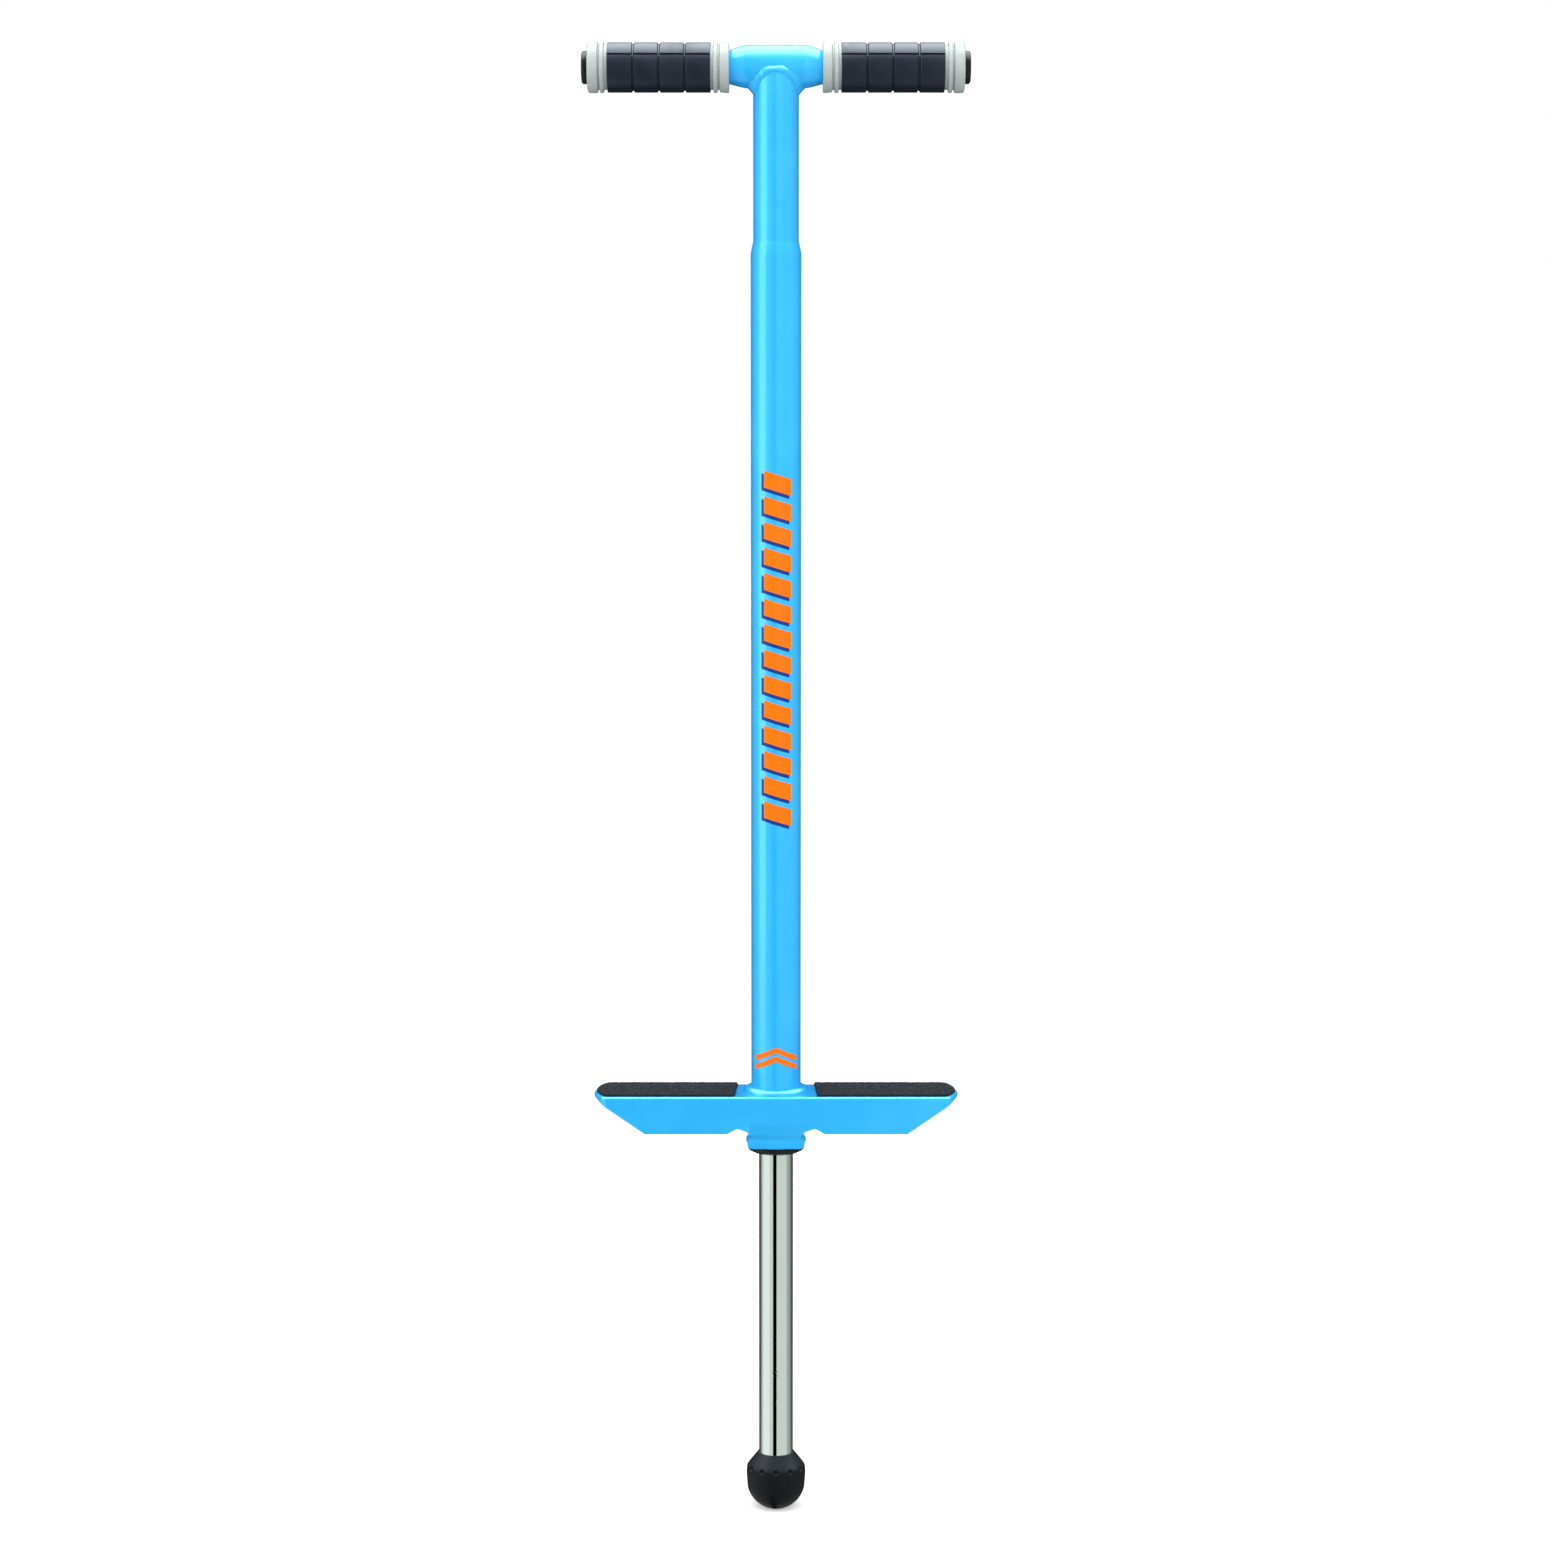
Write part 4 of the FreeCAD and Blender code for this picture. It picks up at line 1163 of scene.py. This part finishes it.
def studio():
    """A pale floor, soft light from panels all round, and the camera."""
    scene = bpy.context.scene
    scene.view_settings.view_transform = "Standard"
    floor = bmesh.new()
    bmesh.ops.create_circle(floor, cap_ends=True, segments=96, radius=14.0)
    data = bpy.data.meshes.new("floor")
    floor.to_mesh(data)
    floor.free()
    ground = bpy.data.objects.new("floor", data)
    scene.collection.objects.link(ground)
    data.materials.append(pale_floor())

    camera = bpy.data.objects.new("camera", bpy.data.cameras.new("camera"))
    scene.collection.objects.link(camera)
    camera.data.sensor_width = 36.0
    camera.data.lens = LENS
    camera.location = (0, -DISTANCE * math.cos(PITCH), AIM_Z + DISTANCE * math.sin(PITCH))
    camera.rotation_euler = (math.pi / 2 - PITCH, 0, 0)
    scene.camera = camera

    panel("left_softbox", (-1.55, -0.7, 0.85), (0, 0, 0.75), 1.1, 2.0, 14.0)
    panel("overhead", (0.0, -0.9, 2.4), (0, 0, 0.6), 2.0, 2.0, 22.0, False)
    panel("front_fill", (0.5, -2.6, 1.0), (0, 0, 0.5), 1.6, 1.6, 23.0, False)
    panel("right_fill", (1.9, -0.3, 0.7), (0, 0, 0.55), 1.4, 1.4, 12.0, False)
    world_light(scene)


def panel(name, place, target, width, height, power, mirrored=True):
    """A rectangular softbox that faces a point, seen in reflections or not."""
    light = bpy.data.lights.new(name, "AREA")
    light.shape = "RECTANGLE"
    light.size = width
    light.size_y = height
    light.energy = power
    lamp = bpy.data.objects.new(name, light)
    bpy.context.scene.collection.objects.link(lamp)
    lamp.location = place
    lamp.visible_glossy = mirrored
    lamp.rotation_euler = (Vector(target) - Vector(place)).to_track_quat("-Z", "Y").to_euler()


def surroundings(tree, direction):
    """How bright the studio is at each compass bearing from the stick, as a colour."""
    way = add(tree, "ShaderNodeSeparateXYZ", Vector=direction)
    bearing = calc(tree, "ARCTAN2", way.outputs["X"], calc(tree, "MULTIPLY", way.outputs["Y"], -1.0))
    share = calc(tree, "MULTIPLY_ADD", bearing, 0.5 / math.pi, 0.5)
    ramp = add(tree, "ShaderNodeValToRGB", Fac=share)
    while len(ramp.color_ramp.elements) < len(WALLS):
        ramp.color_ramp.elements.new(0.5)
    for element, (degrees, level) in zip(ramp.color_ramp.elements, WALLS):
        element.position = degrees / 360 + 0.5
        element.color = (level, level, level, 1)
    return ramp.outputs["Color"], way.outputs["Z"]


def pale_floor():
    """A white floor. In reflections it carries on the walls' light and dark bearings."""
    material, tree, skin = blank("pale_floor", (0.9, 0.9, 0.9), 0.9, Specular_IOR_Level=0.0)
    place = tree.nodes.new("ShaderNodeNewGeometry").outputs["Position"]
    walls, _ = surroundings(tree, place)
    mirrored_look = add(tree, "ShaderNodeEmission", Color=walls)
    glow = add(tree, "ShaderNodeEmission", Color=(1, 1, 1, 1), Strength=FLOOR_LIFT)
    path = tree.nodes.new("ShaderNodeLightPath")
    seen = either(tree, path.outputs["Is Camera Ray"], skin, sum_of(tree, skin, glow))
    chosen = either(tree, path.outputs["Is Glossy Ray"], seen, mirrored_look)
    shaded = add(tree, "ShaderNodeBsdfDiffuse", Color=(FLOOR_BOUNCE, FLOOR_BOUNCE, FLOOR_BOUNCE, 1))
    bounced = either(tree, path.outputs["Is Diffuse Ray"], chosen, shaded)
    tree.links.new(bounced.outputs[0], tree.nodes["Material Output"].inputs["Surface"])
    return material


def sheen(tree, direction):
    """Where reflections see the big overhead softbox, from high in front to low behind: a mask."""
    way = add(tree, "ShaderNodeSeparateXYZ", Vector=direction)
    tilt = calc(tree, "ARCTAN2", way.outputs["Z"], calc(tree, "MULTIPLY", way.outputs["Y"], -1.0))
    front = smooth_step(tree, tilt, math.radians(58), math.radians(78))
    above = smooth_step(tree, way.outputs["Z"], 0.38, 0.72)
    back = smooth_step(tree, tilt, math.radians(95), math.radians(160), 1.0, 0.08)
    return calc(tree, "MULTIPLY", calc(tree, "MULTIPLY", front, above), back)


def world_light(scene):
    """Bright and dark walls by bearing, a bright ceiling, and plain white where the camera looks."""
    world = bpy.data.worlds.new("studio_walls")
    scene.world = world
    world.use_nodes = True
    tree = world.node_tree
    tree.nodes.clear()
    direction = tree.nodes.new("ShaderNodeTexCoord").outputs["Generated"]
    walls, height = surroundings(tree, direction)
    mix = add(tree, "ShaderNodeMix", {"data_type": "RGBA"}, Factor=smooth_step(tree, height, 0.45, 0.8))
    tree.links.new(walls, mix.inputs[6])
    mix.inputs[7].default_value = (CEILING, CEILING, CEILING, 1)
    lit = add(tree, "ShaderNodeBackground", Color=mix.outputs[2], Strength=1.0)
    path = tree.nodes.new("ShaderNodeLightPath")
    mirrored = calc(tree, "MULTIPLY", sheen(tree, direction), path.outputs["Is Glossy Ray"])
    extra = add(tree, "ShaderNodeBackground", Color=(0.92, 1.0, 0.98, 1),
                Strength=calc(tree, "MULTIPLY", mirrored, SHEEN))
    seen = add(tree, "ShaderNodeBackground", Color=(1, 1, 1, 1), Strength=1.0)
    chosen = either(tree, path.outputs["Is Camera Ray"], sum_of(tree, lit, extra), seen)
    out = tree.nodes.new("ShaderNodeOutputWorld")
    tree.links.new(chosen.outputs[0], out.inputs["Surface"])


finish_cad_nodes()
handlebar()
stem()
saddle_weld()
neck()
for side, word in ((1, "right"), (-1, "left")):
    grip_sleeve(side, word)
    grip_core(side, word)
    end_plug(side, word)
    foot_pad(side, word)
foot_bracket()
bracket_weld()
collar()
bushing()
tip()
main_spring()
printed_films()
studio()
